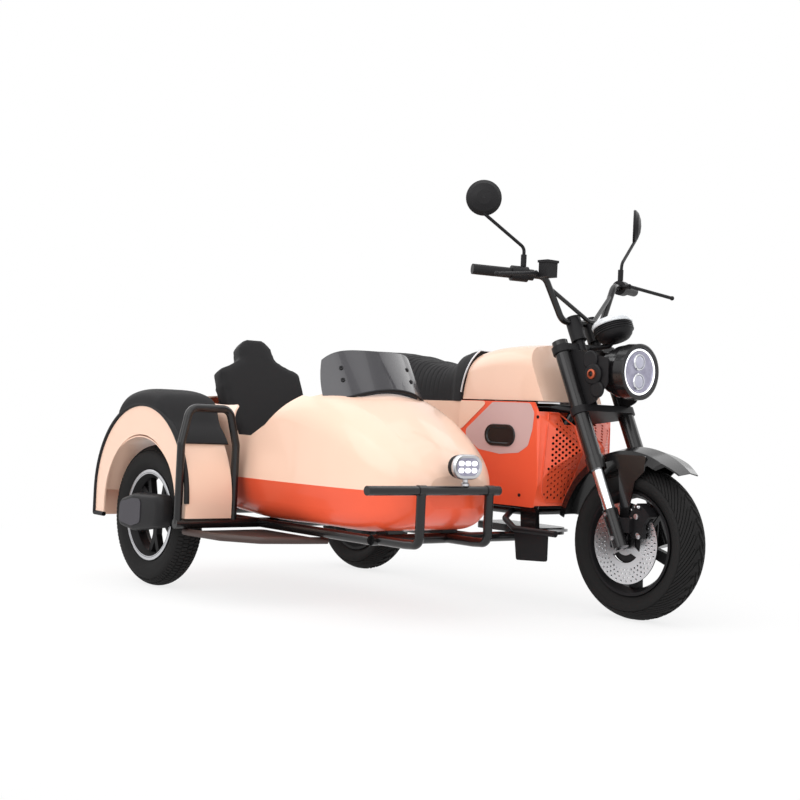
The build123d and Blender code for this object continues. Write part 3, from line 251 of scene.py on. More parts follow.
# The finish of each node's mesh; a piece that stands for a node brings its own.
NODE_FINISH = {
    CREAM: "tank_cover tail_cover sidecar_body_upper sidecar_fender",
    CORAL: "side_cover_right side_cover_left front_grille sidecar_body_lower",
    BLACK_PAINT: "fork_tubes fork_lowers handlebar headlamp_shell front_fender main_frame rear_fender"
    " swingarm sidecar_frame bumper_bar fender_hoop sidecar_arm sidecar_shock rear_shocks",
    BLACK_SATIN: "fork_clamps front_rim rear_rim sidecar_rim brake_caliper mirrors footrests",
    BLACK_MOULDED: "hand_controls gauge battery_block arm_cover",
    VINYL: "seat sidecar_seat_cushion sidecar_seat_back armrest_pad",
    RUBBER: "front_tyre rear_tyre sidecar_tyre",
    CHROME: "fork_stanchions",
    DISC_STEEL: "brake_disc",
    BROWN_PLATE: "footboard",
    SMOKED: "windscreen",
    ALUMINIUM: "bumper_lamp",
    RED_LENS: "tail_lamp",
    REFLECTOR: "headlamp_lens",
}
for finish, names in NODE_FINISH.items():
    for name in names.split():
        nodes[name].data.materials.clear()
        nodes[name].data.materials.append(finish)


# Mesh helpers
def placed(name, mesh):
    piece = bpy.data.objects.new(name, mesh)
    bpy.context.scene.collection.objects.link(piece)
    return piece


def smoothed(mesh, angle):
    mesh.shade_smooth()
    mesh.set_sharp_from_angle(angle=math.radians(angle))
    return mesh


def merged(mesh, distance, outwards=False):
    """A mesh with its doubles merged and, for a mesh made here, its faces turned outwards."""
    shell = bmesh.new()
    shell.from_mesh(mesh)
    bmesh.ops.remove_doubles(shell, verts=shell.verts, dist=distance)
    if outwards:
        bmesh.ops.recalc_face_normals(shell, faces=shell.faces)
    shell.to_mesh(mesh)
    shell.free()
    return mesh


def closed_mesh(points, faces, material):
    """A mesh from points in metres."""
    mesh = bpy.data.meshes.new("part")
    mesh.from_pydata(points, [], faces)
    mesh.materials.append(material)
    mesh.update()
    return merged(mesh, 1e-6, True)


def mesh_part(points, faces, material, smooth=35.0):
    """A part from points in vehicle millimetres."""
    mesh = closed_mesh([at(*point) for point in points], faces, material)
    return placed("part", smoothed(mesh, smooth))


def evaluated_mesh(piece):
    """The plain mesh of a piece with its modifiers applied."""
    graph = bpy.context.evaluated_depsgraph_get()
    return bpy.data.meshes.new_from_object(piece.evaluated_get(graph))


def grid_faces(rows, size, around=False, wrap=False, capped=False):
    """Faces between rows of points. A row can close on itself, and the last row can join the first."""
    faces = []
    for row in range(rows if wrap else rows - 1):
        here, there = row * size, (row + 1) % rows * size
        for k in range(size if around else size - 1):
            after = (k + 1) % size
            faces.append((here + k, here + after, there + after, there + k))
    if capped:
        faces += [tuple(range(size)), tuple(reversed(range((rows - 1) * size, rows * size)))]
    return faces


def cross_axes(along):
    along = Vector(along).normalized()
    side = SIDEWAYS.cross(along)
    if side.length < 0.2:
        side = UPWARDS.cross(along)
    side.normalize()
    return along, side, along.cross(side)


def turned_part(profile, origin, along, material, steps=48, smooth=35.0):
    """A body turned about a line, from (radius, distance along) pairs."""
    along, side, over = cross_axes(along)
    points = []
    for index in range(steps):
        turn = 2 * math.pi * index / steps
        outward = side * math.cos(turn) + over * math.sin(turn)
        points += [Vector(origin) + along * height + outward * radius for radius, height in profile]
    return mesh_part(points, grid_faces(steps, len(profile), wrap=True), material, smooth)


def turned_parts(origin, along, rows):
    """Bodies turned about one line; each row is a profile, a material and the steps round."""
    return [turned_part(profile, origin, along, material, steps) for profile, material, steps in rows]


def dome(radius, foot, rise):
    """Profile of a shallow dome, from its edge to its top."""
    turns = [math.radians(angle) for angle in range(90, -1, -10)]
    return [(radius * math.sin(turn), foot + rise * math.cos(turn)) for turn in turns]


def rounded_path(points, bend, steps=6):
    """Points along straight runs whose corners are rounded."""
    points = [Vector(point) for point in points]
    path = [points[0]]
    for before, corner, after in zip(points, points[1:], points[2:]):
        back, onward = (before - corner), (after - corner)
        half = back.angle(onward) / 2
        cut = min(bend / math.tan(half), back.length * 0.49, onward.length * 0.49)
        start, end = corner + back.normalized() * cut, corner + onward.normalized() * cut
        for index in range(steps + 1):
            t = index / steps
            path.append(start * (1 - t) ** 2 + corner * 2 * t * (1 - t) + end * t**2)
    return path + [points[-1]]


def rounded_ring(outline, bend):
    """A closed outline of (u, v) corners that are rounded."""
    corners = [Vector((u, v, 0)) for u, v in outline]
    middle = (corners[0] + corners[-1]) / 2
    return [(point.x, point.y) for point in rounded_path([middle, *corners, middle], bend)[:-1]]


def plate(outline, low, high, bend, material, upright=True):
    """Plate between two levels, from (x, z) corners when it stands and (x, y) corners when it lies."""
    ring = rounded_ring(outline, bend)
    points = [(u, level, v) if upright else (u, v, level) for level in (low, high) for u, v in ring]
    return mesh_part(points, grid_faces(2, len(ring), around=True, capped=True), material, 30.0)


def tube_part(path, radius, material, sides=12, smooth=60.0):
    """A round tube along a path."""
    points, side = [], None
    for index, point in enumerate(path):
        ahead = path[min(index + 1, len(path) - 1)] - path[max(index - 1, 0)]
        ahead.normalize()
        if side is None:
            ahead, side, over = cross_axes(ahead)
        side = (side - ahead * side.dot(ahead)).normalized()
        over = ahead.cross(side)
        for k in range(sides):
            turn = 2 * math.pi * k / sides
            points.append(point + (side * math.cos(turn) + over * math.sin(turn)) * radius)
    return mesh_part(points, grid_faces(len(path), sides, around=True, capped=True), material, smooth)


def oval_part(centre, across, out, rings, material):
    """A body from nested ovals with straight sides: each row is width, height and distance out."""
    points, steps = [], 10
    for width, height, depth in rings:
        middle, radius = Vector(centre) + Vector(out) * depth, height / 2
        for side in (1, -1):
            for index in range(steps + 1):
                turn = math.radians(-90.0 * side + 180.0 * index / steps)
                u = side * (width / 2 - radius) + radius * math.cos(turn)
                points.append(middle + Vector(across) * u + UPWARDS * radius * math.sin(turn))
    size = len(points) // len(rings)
    return mesh_part(points, grid_faces(len(rings), size, around=True, capped=True), material)


def joined(name, parts):
    """One piece from several parts, with their materials kept."""
    mesh = bpy.data.meshes.new(name)
    whole = bmesh.new()
    materials = []
    for part in parts:
        first = len(whole.faces)
        whole.from_mesh(part.data)
        whole.faces.ensure_lookup_table()
        for material in part.data.materials:
            if material not in materials:
                materials.append(material)
        for face in whole.faces[first:]:
            face.material_index = materials.index(part.data.materials[face.material_index])
        bpy.data.objects.remove(part)
    whole.to_mesh(mesh)
    whole.free()
    for material in materials:
        mesh.materials.append(material)
    return placed(name, mesh)


def dress(piece, body, slot_name, *replaced):
    """Gives a finished piece its body and hides the nodes that it stands for; the slot name is not used."""
    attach(piece, body)
    if replaced:
        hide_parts(*replaced)
    return piece


def dressed(name, parts, body, slot_name, *replaced):
    return dress(joined(name, parts), body, slot_name, *replaced)


def between(rows, value, ease=False):
    """Value of a short table at a place in its first column, in straight lines or eased at each row."""
    for (low, first), (high, second) in zip(rows, rows[1:]):
        if value <= high:
            t = (value - low) / (high - low)
            return first + (second - first) * (eased(max(0.0, t)) if ease else t)
    return rows[-1][1]


def eased(t):
    return t * t * (3 - 2 * t)


def bulged(value, power):
    """A cosine or sine drawn towards its ends, for a section fuller than an ellipse."""
    return math.copysign(abs(value) ** power, value)


# Geometry node trees
def geometry_group(name, **inputs):
    sockets = {"Geometry": "Geometry", **inputs, "Material": "Material"}
    return group("Geometry", name, sockets, {"Geometry": "Geometry"})


def cylinder(tree, sides, radius, depth):
    inputs = {"Vertices": sides, "Radius": radius, "Depth": depth}
    return add_node(tree, "GeometryNodeMeshCylinder", inputs).outputs[0]


def difference(tree, first, second):
    inputs = {"Mesh 1": first, "Mesh 2": second}
    return add_node(tree, "GeometryNodeMeshBoolean", inputs, operation="DIFFERENCE").outputs[0]


def copies(tree, points, shape, turn):
    inputs = {"Points": points, "Instance": shape, "Rotation": turn}
    spread = add_node(tree, "GeometryNodeInstanceOnPoints", inputs)
    return add_node(tree, "GeometryNodeRealizeInstances", {0: spread.outputs[0]}).outputs[0]


def outward_copies(tree, points, shape):
    """A shape on each point, turned to the point's own outward direction."""
    outward = add_node(tree, "GeometryNodeInputNamedAttribute", {"Name": "outward"}, data_type="FLOAT_VECTOR")
    inputs = {"Vector": outward.outputs["Attribute"]}
    turn = add_node(tree, "FunctionNodeAlignEulerToVector", inputs, axis="Z")
    return copies(tree, points, shape, turn.outputs[0])


def painted(tree, given, end, geometry):
    """Ends a tree with its material."""
    inputs = {"Geometry": geometry, "Material": given["Material"]}
    tree.links.new(add_node(tree, "GeometryNodeSetMaterial", inputs).outputs[0], end.inputs[0])
    return tree


def make_round_tree():
    """Repeats the given pattern round an axle."""
    tree, given, end = geometry_group("pattern round an axle", Count="Int", Centre="Vector")
    line = add_node(tree, "GeometryNodeMeshLine", {"Offset": (0, 0, 0), "Count": given["Count"]})
    index = tree.nodes.new("GeometryNodeInputIndex").outputs[0]
    turn = calculated(tree, "DIVIDE", calculated(tree, "MULTIPLY", index, 2 * math.pi), given["Count"])
    angles = add_node(tree, "ShaderNodeCombineXYZ", {"Y": turn})
    whole = copies(tree, line.outputs[0], given["Geometry"], angles.outputs[0])
    place = add_node(tree, "GeometryNodeTransform", {"Geometry": whole, "Translation": given["Centre"]})
    return painted(tree, given, end, place.outputs[0])


def make_screw_tree():
    """A screw head with a socket on each point."""
    tree, given, end = geometry_group("screws", Radius="Float", Height="Float", Sides="Int")
    head = cylinder(tree, given["Sides"], given["Radius"], given["Height"])
    socket = cylinder(tree, 6, calculated(tree, "MULTIPLY", given["Radius"], 0.5), given["Height"])
    lift = add_node(tree, "ShaderNodeCombineXYZ", {"Z": calculated(tree, "MULTIPLY", given["Height"], 0.55)})
    raised = add_node(tree, "GeometryNodeTransform", {"Geometry": socket, "Translation": lift.outputs[0]})
    head = difference(tree, head, raised.outputs[0])
    return painted(tree, given, end, outward_copies(tree, given["Geometry"], head))


def make_hole_tree():
    """Cuts a round hole through a plate at each point of another mesh."""
    sizes = {"Radius": "Float", "Depth": "Float", "Sides": "Int"}
    tree, given, end = geometry_group("holes through a plate", Points="Object", **sizes)
    places = add_node(tree, "GeometryNodeObjectInfo", {"Object": given["Points"]}).outputs["Geometry"]
    drill = cylinder(tree, given["Sides"], given["Radius"], given["Depth"])
    drills = outward_copies(tree, places, drill)
    return painted(tree, given, end, difference(tree, given["Geometry"], drills))


def make_spring_tree():
    """A coil spring standing on its base point, as a helix of wire."""
    sizes = dict.fromkeys(("Turns", "Radius", "Wire", "Length"), "Float")
    tree, given, end = geometry_group("coil spring", **sizes)
    shape = {
        "Resolution": 24,
        "Rotations": given["Turns"],
        "Start Radius": given["Radius"],
        "End Radius": given["Radius"],
        "Height": given["Length"],
    }
    helix = add_node(tree, "GeometryNodeCurveSpiral", shape)
    ring = add_node(tree, "GeometryNodeCurvePrimitiveCircle", {"Resolution": 10, "Radius": given["Wire"]})
    shape = {"Curve": helix.outputs[0], "Profile Curve": ring.outputs[0], "Fill Caps": True}
    coil = add_node(tree, "GeometryNodeCurveToMesh", shape)
    smooth = add_node(tree, "GeometryNodeSetShadeSmooth", {0: coil.outputs[0]})
    return painted(tree, given, end, outward_copies(tree, given["Geometry"], smooth.outputs[0]))


ROUND_TREE = make_round_tree()
SCREW_TREE = make_screw_tree()
HOLE_TREE = make_hole_tree()
SPRING_TREE = make_spring_tree()


def grown(name, base, tree, values, smooth):
    """The plain mesh that a geometry tree makes from a base mesh, as a new piece."""
    modifier = base.modifiers.new("tree", "NODES")
    modifier.node_group = tree
    labels = {item.name: item.identifier for item in tree.interface.items_tree if item.in_out == "INPUT"}
    for label, value in values.items():
        modifier[labels[label]] = value
    mesh = evaluated_mesh(base)
    mesh.name = name
    bpy.data.objects.remove(base)
    return placed(name, smoothed(mesh, smooth))


def point_mesh(places):
    """A mesh of loose points, each with its outward direction, from (point, direction) pairs."""
    mesh = bpy.data.meshes.new("points")
    mesh.from_pydata([at(*point) for point, outward in places], [], [])
    attribute = mesh.attributes.new("outward", "FLOAT_VECTOR", "POINT")
    for index, (point, outward) in enumerate(places):
        attribute.data[index].vector = Vector(outward).normalized()
    return placed("points", mesh)


def screws(name, body, slot_name, places, radius, height, material, sides=16):
    values = {"Radius": radius / 1000, "Height": height / 1000, "Sides": sides, "Material": material}
    return dress(grown(name, point_mesh(places), SCREW_TREE, values, 30.0), body, slot_name)


def cad_copy(stands_for, name):
    """A merged copy of a node's mesh, for a piece that keeps its shape and adds to it."""
    return placed(name, merged(nodes[stands_for].data.copy(), 1e-5))


def drilled(name, stands_for, body, places, radius, depth, sides, material):
    """A node's shape with a hole at each place."""
    points = point_mesh(places)
    values = {"Points": points, "Radius": radius / 1000, "Depth": depth / 1000, "Sides": sides}
    values["Material"] = material
    piece = grown(name, cad_copy(stands_for, "base"), HOLE_TREE, values, 30.0)
    bpy.data.objects.remove(points)
    return dress(piece, body, stands_for, stands_for)


# Tyres
def crown(width):
    """Radius of a tyre's round crown across the tread, and the angle from its middle to its edge."""
    reach, shoulder = width / 2 - 7, width * 0.20
    bow = (reach**2 + shoulder**2) / (2 * shoulder)
    return bow, math.asin(reach / bow)


def crown_point(angle, across, outer, width, sink):
    """Point below a tyre's crown, at an angle about the axle and an angle across the tread."""
    bow = crown(width)[0]
    radius = outer - bow + (bow - sink) * math.cos(across)
    return Vector((radius * math.cos(angle), (bow - sink) * math.sin(across), radius * math.sin(angle)))


def carcass(centre, outer, width, rim_r, depth):
    """Smooth tyre below its tread, with side walls, rings and beads."""
    half, foot = width / 2, rim_r + 8
    bead, rise = half * 0.62, outer - width * 0.20 - foot
    reach = crown(width)[1]
    wall = [(rim_r - 2, bead - 4), (rim_r, bead), (foot, bead + 6)]
    for index in range(1, 8):
        t = index / 8
        y = (1 - t) ** 2 * (bead + 6) + 2 * t * (1 - t) * (half + 6) + t**2 * (half - 7)
        wall.append((foot + rise * t, y + (0.8 if index in (2, 3, 6) else 0.0)))
    profile = [(radius, -y) for radius, y in wall]
    for index in range(13):
        spot = crown_point(0.0, -reach + 2 * reach * index / 12, outer, width, depth - 0.5)
        profile.append((spot.x, spot.y))
    profile += wall[::-1]
    return turned_part(profile + profile[:1], centre, SIDEWAYS, RUBBER, 96, 50.0)


def tyre(name, centre, body, outer, width, rim_r, depth, paths, bar, count):
    """A tyre whose tread repeats raised bars; each follows a path of (angle, across) stations."""
    section = ((-1.1, depth), (-1, 0.3), (0, 0), (1, 0.3), (1.1, depth))
    half = math.radians(bar) / 2
    points, faces = [], []
    for path in paths:
        whole = grid_faces(len(path), len(section), capped=True)
        faces += [tuple(len(points) + k for k in face) for face in whole]
        for angle, across in path:
            for side, sink in section:
                points.append(crown_point(angle + side * half, across, outer, width, sink) / 1000)
    base = placed("pattern", closed_mesh(points, faces, RUBBER))
    values = {"Count": count, "Centre": at(*centre), "Material": RUBBER}
    tread = grown("tread", base, ROUND_TREE, values, 35.0)
    parts = [carcass(centre, outer, width, rim_r, depth), tread]
    dressed(name + "_dressed", parts, body, name, name)


def road_tyre(name, centre, body):
    """Motorcycle tyre with long swept grooves."""
    width = 130.0
    reach = crown(width)[1]
    paths = []
    for side in SIDES:
        lead = 2.5 if side > 0 else 0.0
        for offset, start, end in ((0.0, 0.06, 1.02), (5.0, 0.30, 1.04)):
            stations = [start + (end - start) * index / 8 for index in range(9)]
            paths.append([(math.radians(offset + lead - 26.0 * t**1.3), side * reach * t) for t in stations])
    tyre(name, centre, body, 243.0, width, 166.0, 5.0, paths, 3.7, 36)


def block_tyre(name, centre, body):
    """Sidecar tyre with staggered small blocks."""
    width = 99.0
    reach = crown(width)[1]
    rows = ((-1.0, -0.66, 0.0), (-0.60, -0.24, 1.6), (-0.18, 0.18, 0.0), (0.24, 0.60, 1.6), (0.66, 1.0, 0.0))
    paths = []
    for low, high, shift in rows:
        for step in (0.0, 3.6):
            stations = [low + (high - low) * index / 3 for index in range(4)]
            paths.append([(math.radians(shift + step + 1.4 * t), reach * t) for t in stations])
    tyre(name, centre, body, 238.0, width, 151.0, 4.0, paths, 2.6, 50)


road_tyre("front_tyre", FRONT_AXLE, "front_wheel")
road_tyre("rear_tyre", REAR_AXLE, "rear_wheel")
block_tyre("sidecar_tyre", SIDE_AXLE, "sidecar_wheel")


# Wheels
def disc_holes():
    """Four staggered rings of cooling holes through the brake disc."""
    places = []
    for ring, radius in enumerate((84.0, 96.0, 108.0, 119.0)):
        for index in range(36):
            turn = 2 * math.pi * (index + 0.5 * (ring % 2)) / 36
            spot = FRONT_AXLE + Vector((radius * math.cos(turn), -60.0, radius * math.sin(turn)))
            places.append((spot, -SIDEWAYS))
    return places


drilled("drilled_brake_disc", "brake_disc", "front_wheel", disc_holes(), 3.3, 12.0, 10, DISC_STEEL)
HUB_FLANGE = [(12, -30), (60, -30), (64, -34), (64, -50), (58, -54), (12, -54)]
RIM_LIP = [(139, -37.5), (150, -38.8), (152.5, -37.5), (152.5, -34), (150, -33)]
for name, profile, axle, material, steps, body, rim in (
    ("front_hub_flange", HUB_FLANGE, FRONT_AXLE, BLACK_SATIN, 56, "front_wheel", "front_rim"),
    ("sidecar_rim_lip", RIM_LIP, SIDE_AXLE, ALUMINIUM, 96, "sidecar_wheel", "sidecar_rim"),
):
    dressed(name, [turned_part(profile, axle, SIDEWAYS, material, steps)], body, rim)


# Perforated nose
GRILLE = BVHTree.FromPolygons(
    [vert.co.copy() for vert in nodes["front_grille"].data.vertices],
    [tuple(face.vertices) for face in nodes["front_grille"].data.polygons],
)


def grille_spot(along, z):
    """The grille's surface and outward direction where the view of a point of its right side meets it."""
    share = along / 136.5
    aim = (at(1112.0 + 78.0 * share, -172.0 + 112.0 * share, z) - EYE).normalized()
    hit, normal = GRILLE.ray_cast(EYE, aim)[:2]
    if hit is None or normal.dot(aim) > -0.1:
        return None
    place = Vector((hit.x * 1000 + ORIGIN_X, hit.y * 1000 + ORIGIN_Y, hit.z * 1000))
    return (place, normal) if place.y < -4.0 else None


def flipped(point):
    return Vector((point.x, -point.y, point.z))


def grille_holes():
    """Staggered holes over the angled sides and the slopes of the nose."""
    left = ((340.0, 22.0), (377.0, 25.0), (603.0, 51.0), (640.0, 74.0))
    right = ((350.0, 86.0), (385.0, 97.0), (417.0, 112.0), (522.0, 139.0), (622.0, 103.0), (650.0, 90.0))
    places = []
    for column in range(13):
        for row in range(15):
            along = 14.0 + column * 11.2
            z = 366.0 + row * 18.6 + (9.3 if column % 2 else 0.0)
            if z < 622.0 and between(left, z) < along < between(right, z):
                found = grille_spot(along, z)
                if found:
                    places += [found, (flipped(found[0]), flipped(found[1]))]
    return places


def grille_border():
    """Raised bead round the field of holes, on both sides of the nose."""
    corners = ((29, 641), (14, 387), (31, 350), (85, 349), (118, 430), (146, 515), (102, 643), (29, 641))
    path = []
    for (a0, z0), (a1, z1) in zip(corners, corners[1:]):
        for index in range(12):
            t = index / 12
            found = grille_spot(a0 + (a1 - a0) * t, z0 + (z1 - z0) * t)
            if found:
                path.append(found[0] + found[1] * 0.6)
    lines = (path, [flipped(point) for point in path])
    parts = [tube_part(line, 2.6, CORAL, 8) for line in lines]
    dressed("grille_border", parts, "chassis", "front_grille")


drilled("perforated_front_grille", "front_grille", "chassis", grille_holes(), 4.7, 44.0, 8, CORAL)
grille_border()


# Headlamp and gauge
def headlamp():
    """Halo ring, pale reflector and two projector lenses, one above the other."""
    ahead = (1, 0, 0)
    face = Vector((1382.0, 0.0, 784.0))
    turns = [math.pi * 2 * index / 12 for index in range(13)]
    halo = [(71.0 + 3.2 * math.cos(turn), -6.0 + 3.2 * math.sin(turn)) for turn in turns]
    bowl = [(0, -11.4), (30, -11.2), (52, -10.0), (62, -8.0), (66, -5.0), (66.2, -11.5), (0, -11.7)]
    parts = turned_parts(face, ahead, [(halo, HALO, 72), (bowl, REFLECTOR, 64)])
    rim = [(27, -11), (27, -7), (25, -5), (22, -5), (21, -8), (21, -11)]
    for z in (-31.0, 31.0):
        rows = [(rim, CHROME, 40), (dome(21.5, -9.5, 8.5), PROJECTOR, 40)]
        parts += turned_parts(face + UPWARDS * z, ahead, rows)
    dressed("headlamp_inside", parts, "steering", "headlamp_lens", "headlamp_lens")


def gauge_cup():
    """Ribbed cup with a white domed rim and glass, in place of the plain one."""
    lean = math.radians(22.0)
    wall = [(0, 0), (34, 0), (46, 4), (56, 14), (60, 24)]
    for height in (26, 33, 40):
        wall += [(61, height), (65, height + 1.5), (65, height + 4.5), (61, height + 6)]
    wall += [(64, 48), (64, 50), (0, 50)]
    rim = [(62, 49), (66.5, 52), (67.5, 58), (66, 65), (62, 69), (57, 68)]
    rows = [(wall, BLACK_SATIN, 56), (rim, PALE_DIAL, 56), (dome(58, 62, 9), PALE_DIAL, 56)]
    parts = turned_parts((1274.0, 0.0, 884.3), (-math.sin(lean), 0, math.cos(lean)), rows)
    dressed("gauge_dressed", parts, "steering", "gauge", "gauge")


headlamp()
gauge_cup()


# Side covers and skid plate
def cover_fields():
    """Cream panel ahead of the tail and a plain pale field on each side cover."""
    cream = [(724, 674), (866, 674), (742, 580), (724, 574)]
    pale = [(888, 672), (1066, 672), (1086, 640), (1080, 585), (1062, 530)]
    pale += [(1020, 506), (930, 498), (826, 510), (764, 548), (756, 574)]
    parts = []
    for side in SIDES:
        parts.append(plate(cream, side * 171.8, side * 174.4, 12.0, CREAM))
        parts.append(plate(pale, side * 171.8, side * 172.7, 22.0, PALE_PINK))
    dressed("cover_fields", parts, "chassis", "side_cover_right")


def side_insets():
    """Glossy black oval with a sunk middle, on each side cover."""
    rings = [(144, 72, -1), (146, 74, 2), (142, 70, 6), (126, 54, 6), (120, 48, 1.5)]
    parts = []
    for side in SIDES:
        parts.append(oval_part((930.0, side * 172.0, 561.0), (1, 0, 0), (0, side, 0), rings, BLACK_PAINT))
    dressed("side_insets", parts, "chassis", "side_cover_right")


def under_body():
    """Skid plate with a bright edge at its round front end."""
    whole = [(720, -78), (1036, -78), (1036, 78), (720, 78)]
    front = [(975, -79), (1037, -79), (1037, 79), (975, 79)]
    parts = [
        plate(whole, 232.0, 256.0, 60.0, BLACK_PAINT, upright=False),
        plate(front, 242.0, 250.0, 60.0, STEEL, upright=False),
    ]
    dressed("skid_plate", parts, "chassis", "main_frame")


cover_fields()
side_insets()
under_body()


# Bumper lamp, mirrors and lamp brackets
def bumper_lamp():
    """Oval lamp on a short stem: black back, silver rim and two rows of lit cells."""
    middle = Vector((1236.0, -624.0, 468.0))
    back = [(84, 46, -4), (104, 64, 2), (109, 70, 12), (109, 70, 22)]
    bezel = [(109, 70, 20), (113, 74, 23), (113, 74, 33), (106, 67, 38), (92, 53, 36), (88, 49, 31)]
    glass = [(90, 51, 30), (90, 51, 33.2)]
    rows = [(middle, back, BLACK_MOULDED), (middle, bezel, ALUMINIUM), (middle, glass, REFLECTOR)]
    cells = []
    for column in (-1, 0, 1):
        for row in SIDES:
            spot = middle + Vector((33.0, column * 26.0, row * 10.5))
            cells.append((spot, [(21, 15, 0), (20, 14, 2.4), (13, 8, 3.6)], LED_CELL))
    parts = [oval_part(spot, (0, 1, 0), (1, 0, 0), rings, material) for spot, rings, material in rows + cells]
    stem = [(0, -57), (13, -57), (13, -50), (9, -46), (9, -30), (0, -30)]
    parts.append(turned_part(stem, (1250.0, -615.0, 468.0), UPWARDS, ALUMINIUM, 24))
    dressed("bumper_lamp_dressed", parts, "chassis", "bumper_lamp", "bumper_lamp")


def mirror_glass():
    """Silvered glass and a black rim in each mirror's back-facing side."""
    splay = math.radians(41.0)
    glass = [(53, 0.2), (53, -0.8), (52, -1.2), (0, -1.2)]
    rim = [(57.5, 1), (58, -1.5), (55, -2.2), (53, -0.6)]
    rows = [(glass, MIRROR, 48), (rim, BLACK_SATIN, 48)]
    parts = []
    for side in SIDES:
        along = (math.cos(splay), side * math.sin(splay), 0)
        parts += turned_parts((1008.0, side * 367.0, 1325.0), along, rows)
    dressed("mirror_glass", parts, "steering", "mirrors")


def lamp_bracket_covers():
    """Round housings on the lamp's brackets, the big one with a copper ring cap."""
    housing = [(34, 0), (34, 8), (30, 12), (18, 13), (0, 13)]
    ring = [(16, 12), (16, 18), (13, 20), (9.5, 20), (9, 14)]
    cap = [(9, 12), (8.5, 16), (4, 18), (0, 18)]
    upper = [(30, 0), (30, 6), (26, 9), (0, 9)]
    lower = [(26, 0), (26, 6), (22, 9), (0, 9)]
    parts = []
    for side in SIDES:
        for x, z, rows in (
            (1272.0, 771.0, [(housing, BLACK_SATIN, 40), (ring, COPPER, 32), (cap, BLACK_SATIN, 24)]),
            (1256.0, 818.0, [(upper, BLACK_SATIN, 36)]),
            (1290.0, 722.0, [(lower, BLACK_SATIN, 36)]),
        ):
            parts += turned_parts((x, side * 96.0, z), (0, side, 0), rows)
    dressed("lamp_bracket_covers", parts, "steering", "fork_clamps")


bumper_lamp()
mirror_glass()
lamp_bracket_covers()

# Windscreen: a round wall that leans back as it rises; its outward direction points up by SCREEN_RISE
SCREEN_X, SCREEN_R, SCREEN_FOOT_Z = 752.5, 222.5, 560.0
SCREEN_LEAN = math.tan(math.radians(32.0))
SCREEN_RISE = 139.0


def screen_point(across, z):
    """Point of the windscreen's outer face, across from its middle, and the direction out of it."""
    depth = math.sqrt(SCREEN_R**2 - across**2)
    point = Vector((SCREEN_X + depth - SCREEN_LEAN * (z - SCREEN_FOOT_Z), SIDECAR_Y + across, z))
    return point, Vector((depth, across, SCREEN_RISE)).normalized()


def windscreen():
    """Curved screen with round upper corners, and a rolled lip along its foot."""
    columns, rows = 56, 20
    outside, inside = [], []
    for i in range(columns + 1):
        s = -1 + 2 * i / columns
        for j in range(rows + 1):
            t = j / rows
            across = s * (203.0 - 18.0 * t * t)
            low = 690.0 - 50.0 * (across / 200.0) ** 2
            high = 813.0 - 37.0 * abs(s) ** 6
            point, out = screen_point(across, low + (high - low) * t)
            outside.append((point, out))
            inside.append(point - out * 4.0)
    step, half = rows + 1, len(outside)
    faces = grid_faces(columns + 1, step)
    faces += [tuple(half + k for k in face) for face in faces]
    ends = [(i * step + j, i * step + j + step) for i in range(columns) for j in (0, rows)]
    ends += [(i * step + j, i * step + j + 1) for i in (0, columns) for j in range(rows)]
    faces += [(here, there, half + there, half + here) for here, there in ends]
    sheet = mesh_part([point for point, out in outside] + inside, faces, SMOKED, 50.0)
    foot = [point - out for point, out in outside[::step]]
    parts = [sheet, tube_part(foot, 4.5, BLACK_MOULDED, 10)]
    dressed("screen_dressed", parts, "chassis", "windscreen", "windscreen")


def screen_screws():
    places = []
    for across, z in ((-148.0, 752.5), (-153.0, 714.4), (100.0, 760.4), (98.0, 721.3)):
        point, out = screen_point(across, z)
        places.append((point + out * 1.2, out))
    return places


windscreen()
screws("screen_screws", "chassis", "windscreen", screen_screws(), 7.0, 4.0, BLACK_SATIN)

# Screws, bolts and the caliper's fittings
cover_places = []
for side in SIDES:
    cover_places += [((x, side * 172.8, z), (0, side, 0)) for x, z in ((1104.0, 627.0), (1033.0, 367.0))]
screws("cover_screws", "chassis", "side_cover_right", cover_places, 5.5, 3.0, BLACK_SATIN)

bolt_places = [((x, y, z), -SIDEWAYS) for x, y, z in ((1441, -84, 322), (1468, -84, 276), (1473, -80, 352))]
for side in SIDES:
    for height in (12.0, 90.0):
        bolt_places.append((LEG_FOOT + UP_FORK * height + SIDEWAYS * side * 134.0, SIDEWAYS * side))
screws("front_bolts", "steering", "brake_caliper", bolt_places, 7.0, 6.0, STEEL, 6)


def caliper_fittings():
    """Bleed nipple and guide pins of the caliper, in bright metal."""
    parts = []
    for foot, out, wide, length in (
        ((1471.0, -84.0, 359.0), (0.2, -1.0, 0.4), 5.0, 13.0),
        ((1460.0, -85.0, 331.0), -SIDEWAYS, 9.0, 5.0),
        ((1472.0, -85.0, 271.0), -SIDEWAYS, 8.0, 5.0),
    ):
        thin = wide * 0.6
        profile = [(wide, -2), (wide, length * 0.6), (thin, length * 0.7), (thin, length), (0, length)]
        parts.append(turned_part(profile, foot, out, ALUMINIUM, 24))
    dressed("caliper_fittings", parts, "steering", "brake_caliper")


caliper_fittings()

# Seats and pads
SEAT_TOP = (
    (-160, 806), (-110, 834), (-20, 852), (80, 858), (200, 853), (294, 843), (400, 824),
    (480, 809), (560, 803), (610, 812), (655, 845), (700, 855), (756, 866),
)
SEAT_EDGE = ((0.0, 703.0), (0.5, 732.0), (0.85, 752.0), (0.97, 712.0), (1.0, 690.0))
SEAT_START, SEAT_END, SEAT_FLOOR = -169.0, 654.0, 672.4
SEAT_WRAP = 600.0


def seat_half(x):
    if x < 240:
        return 88.0 + 42.0 * max(0.0, (x + 170.0) / 410.0) ** 0.7
    flare = min(7.0, 0.35 * max(0.0, x - 640.0)) + 0.11 * max(0.0, x - 655.0)
    return 130.0 + 8.0 * (x - 240.0) / 415.0 + flare


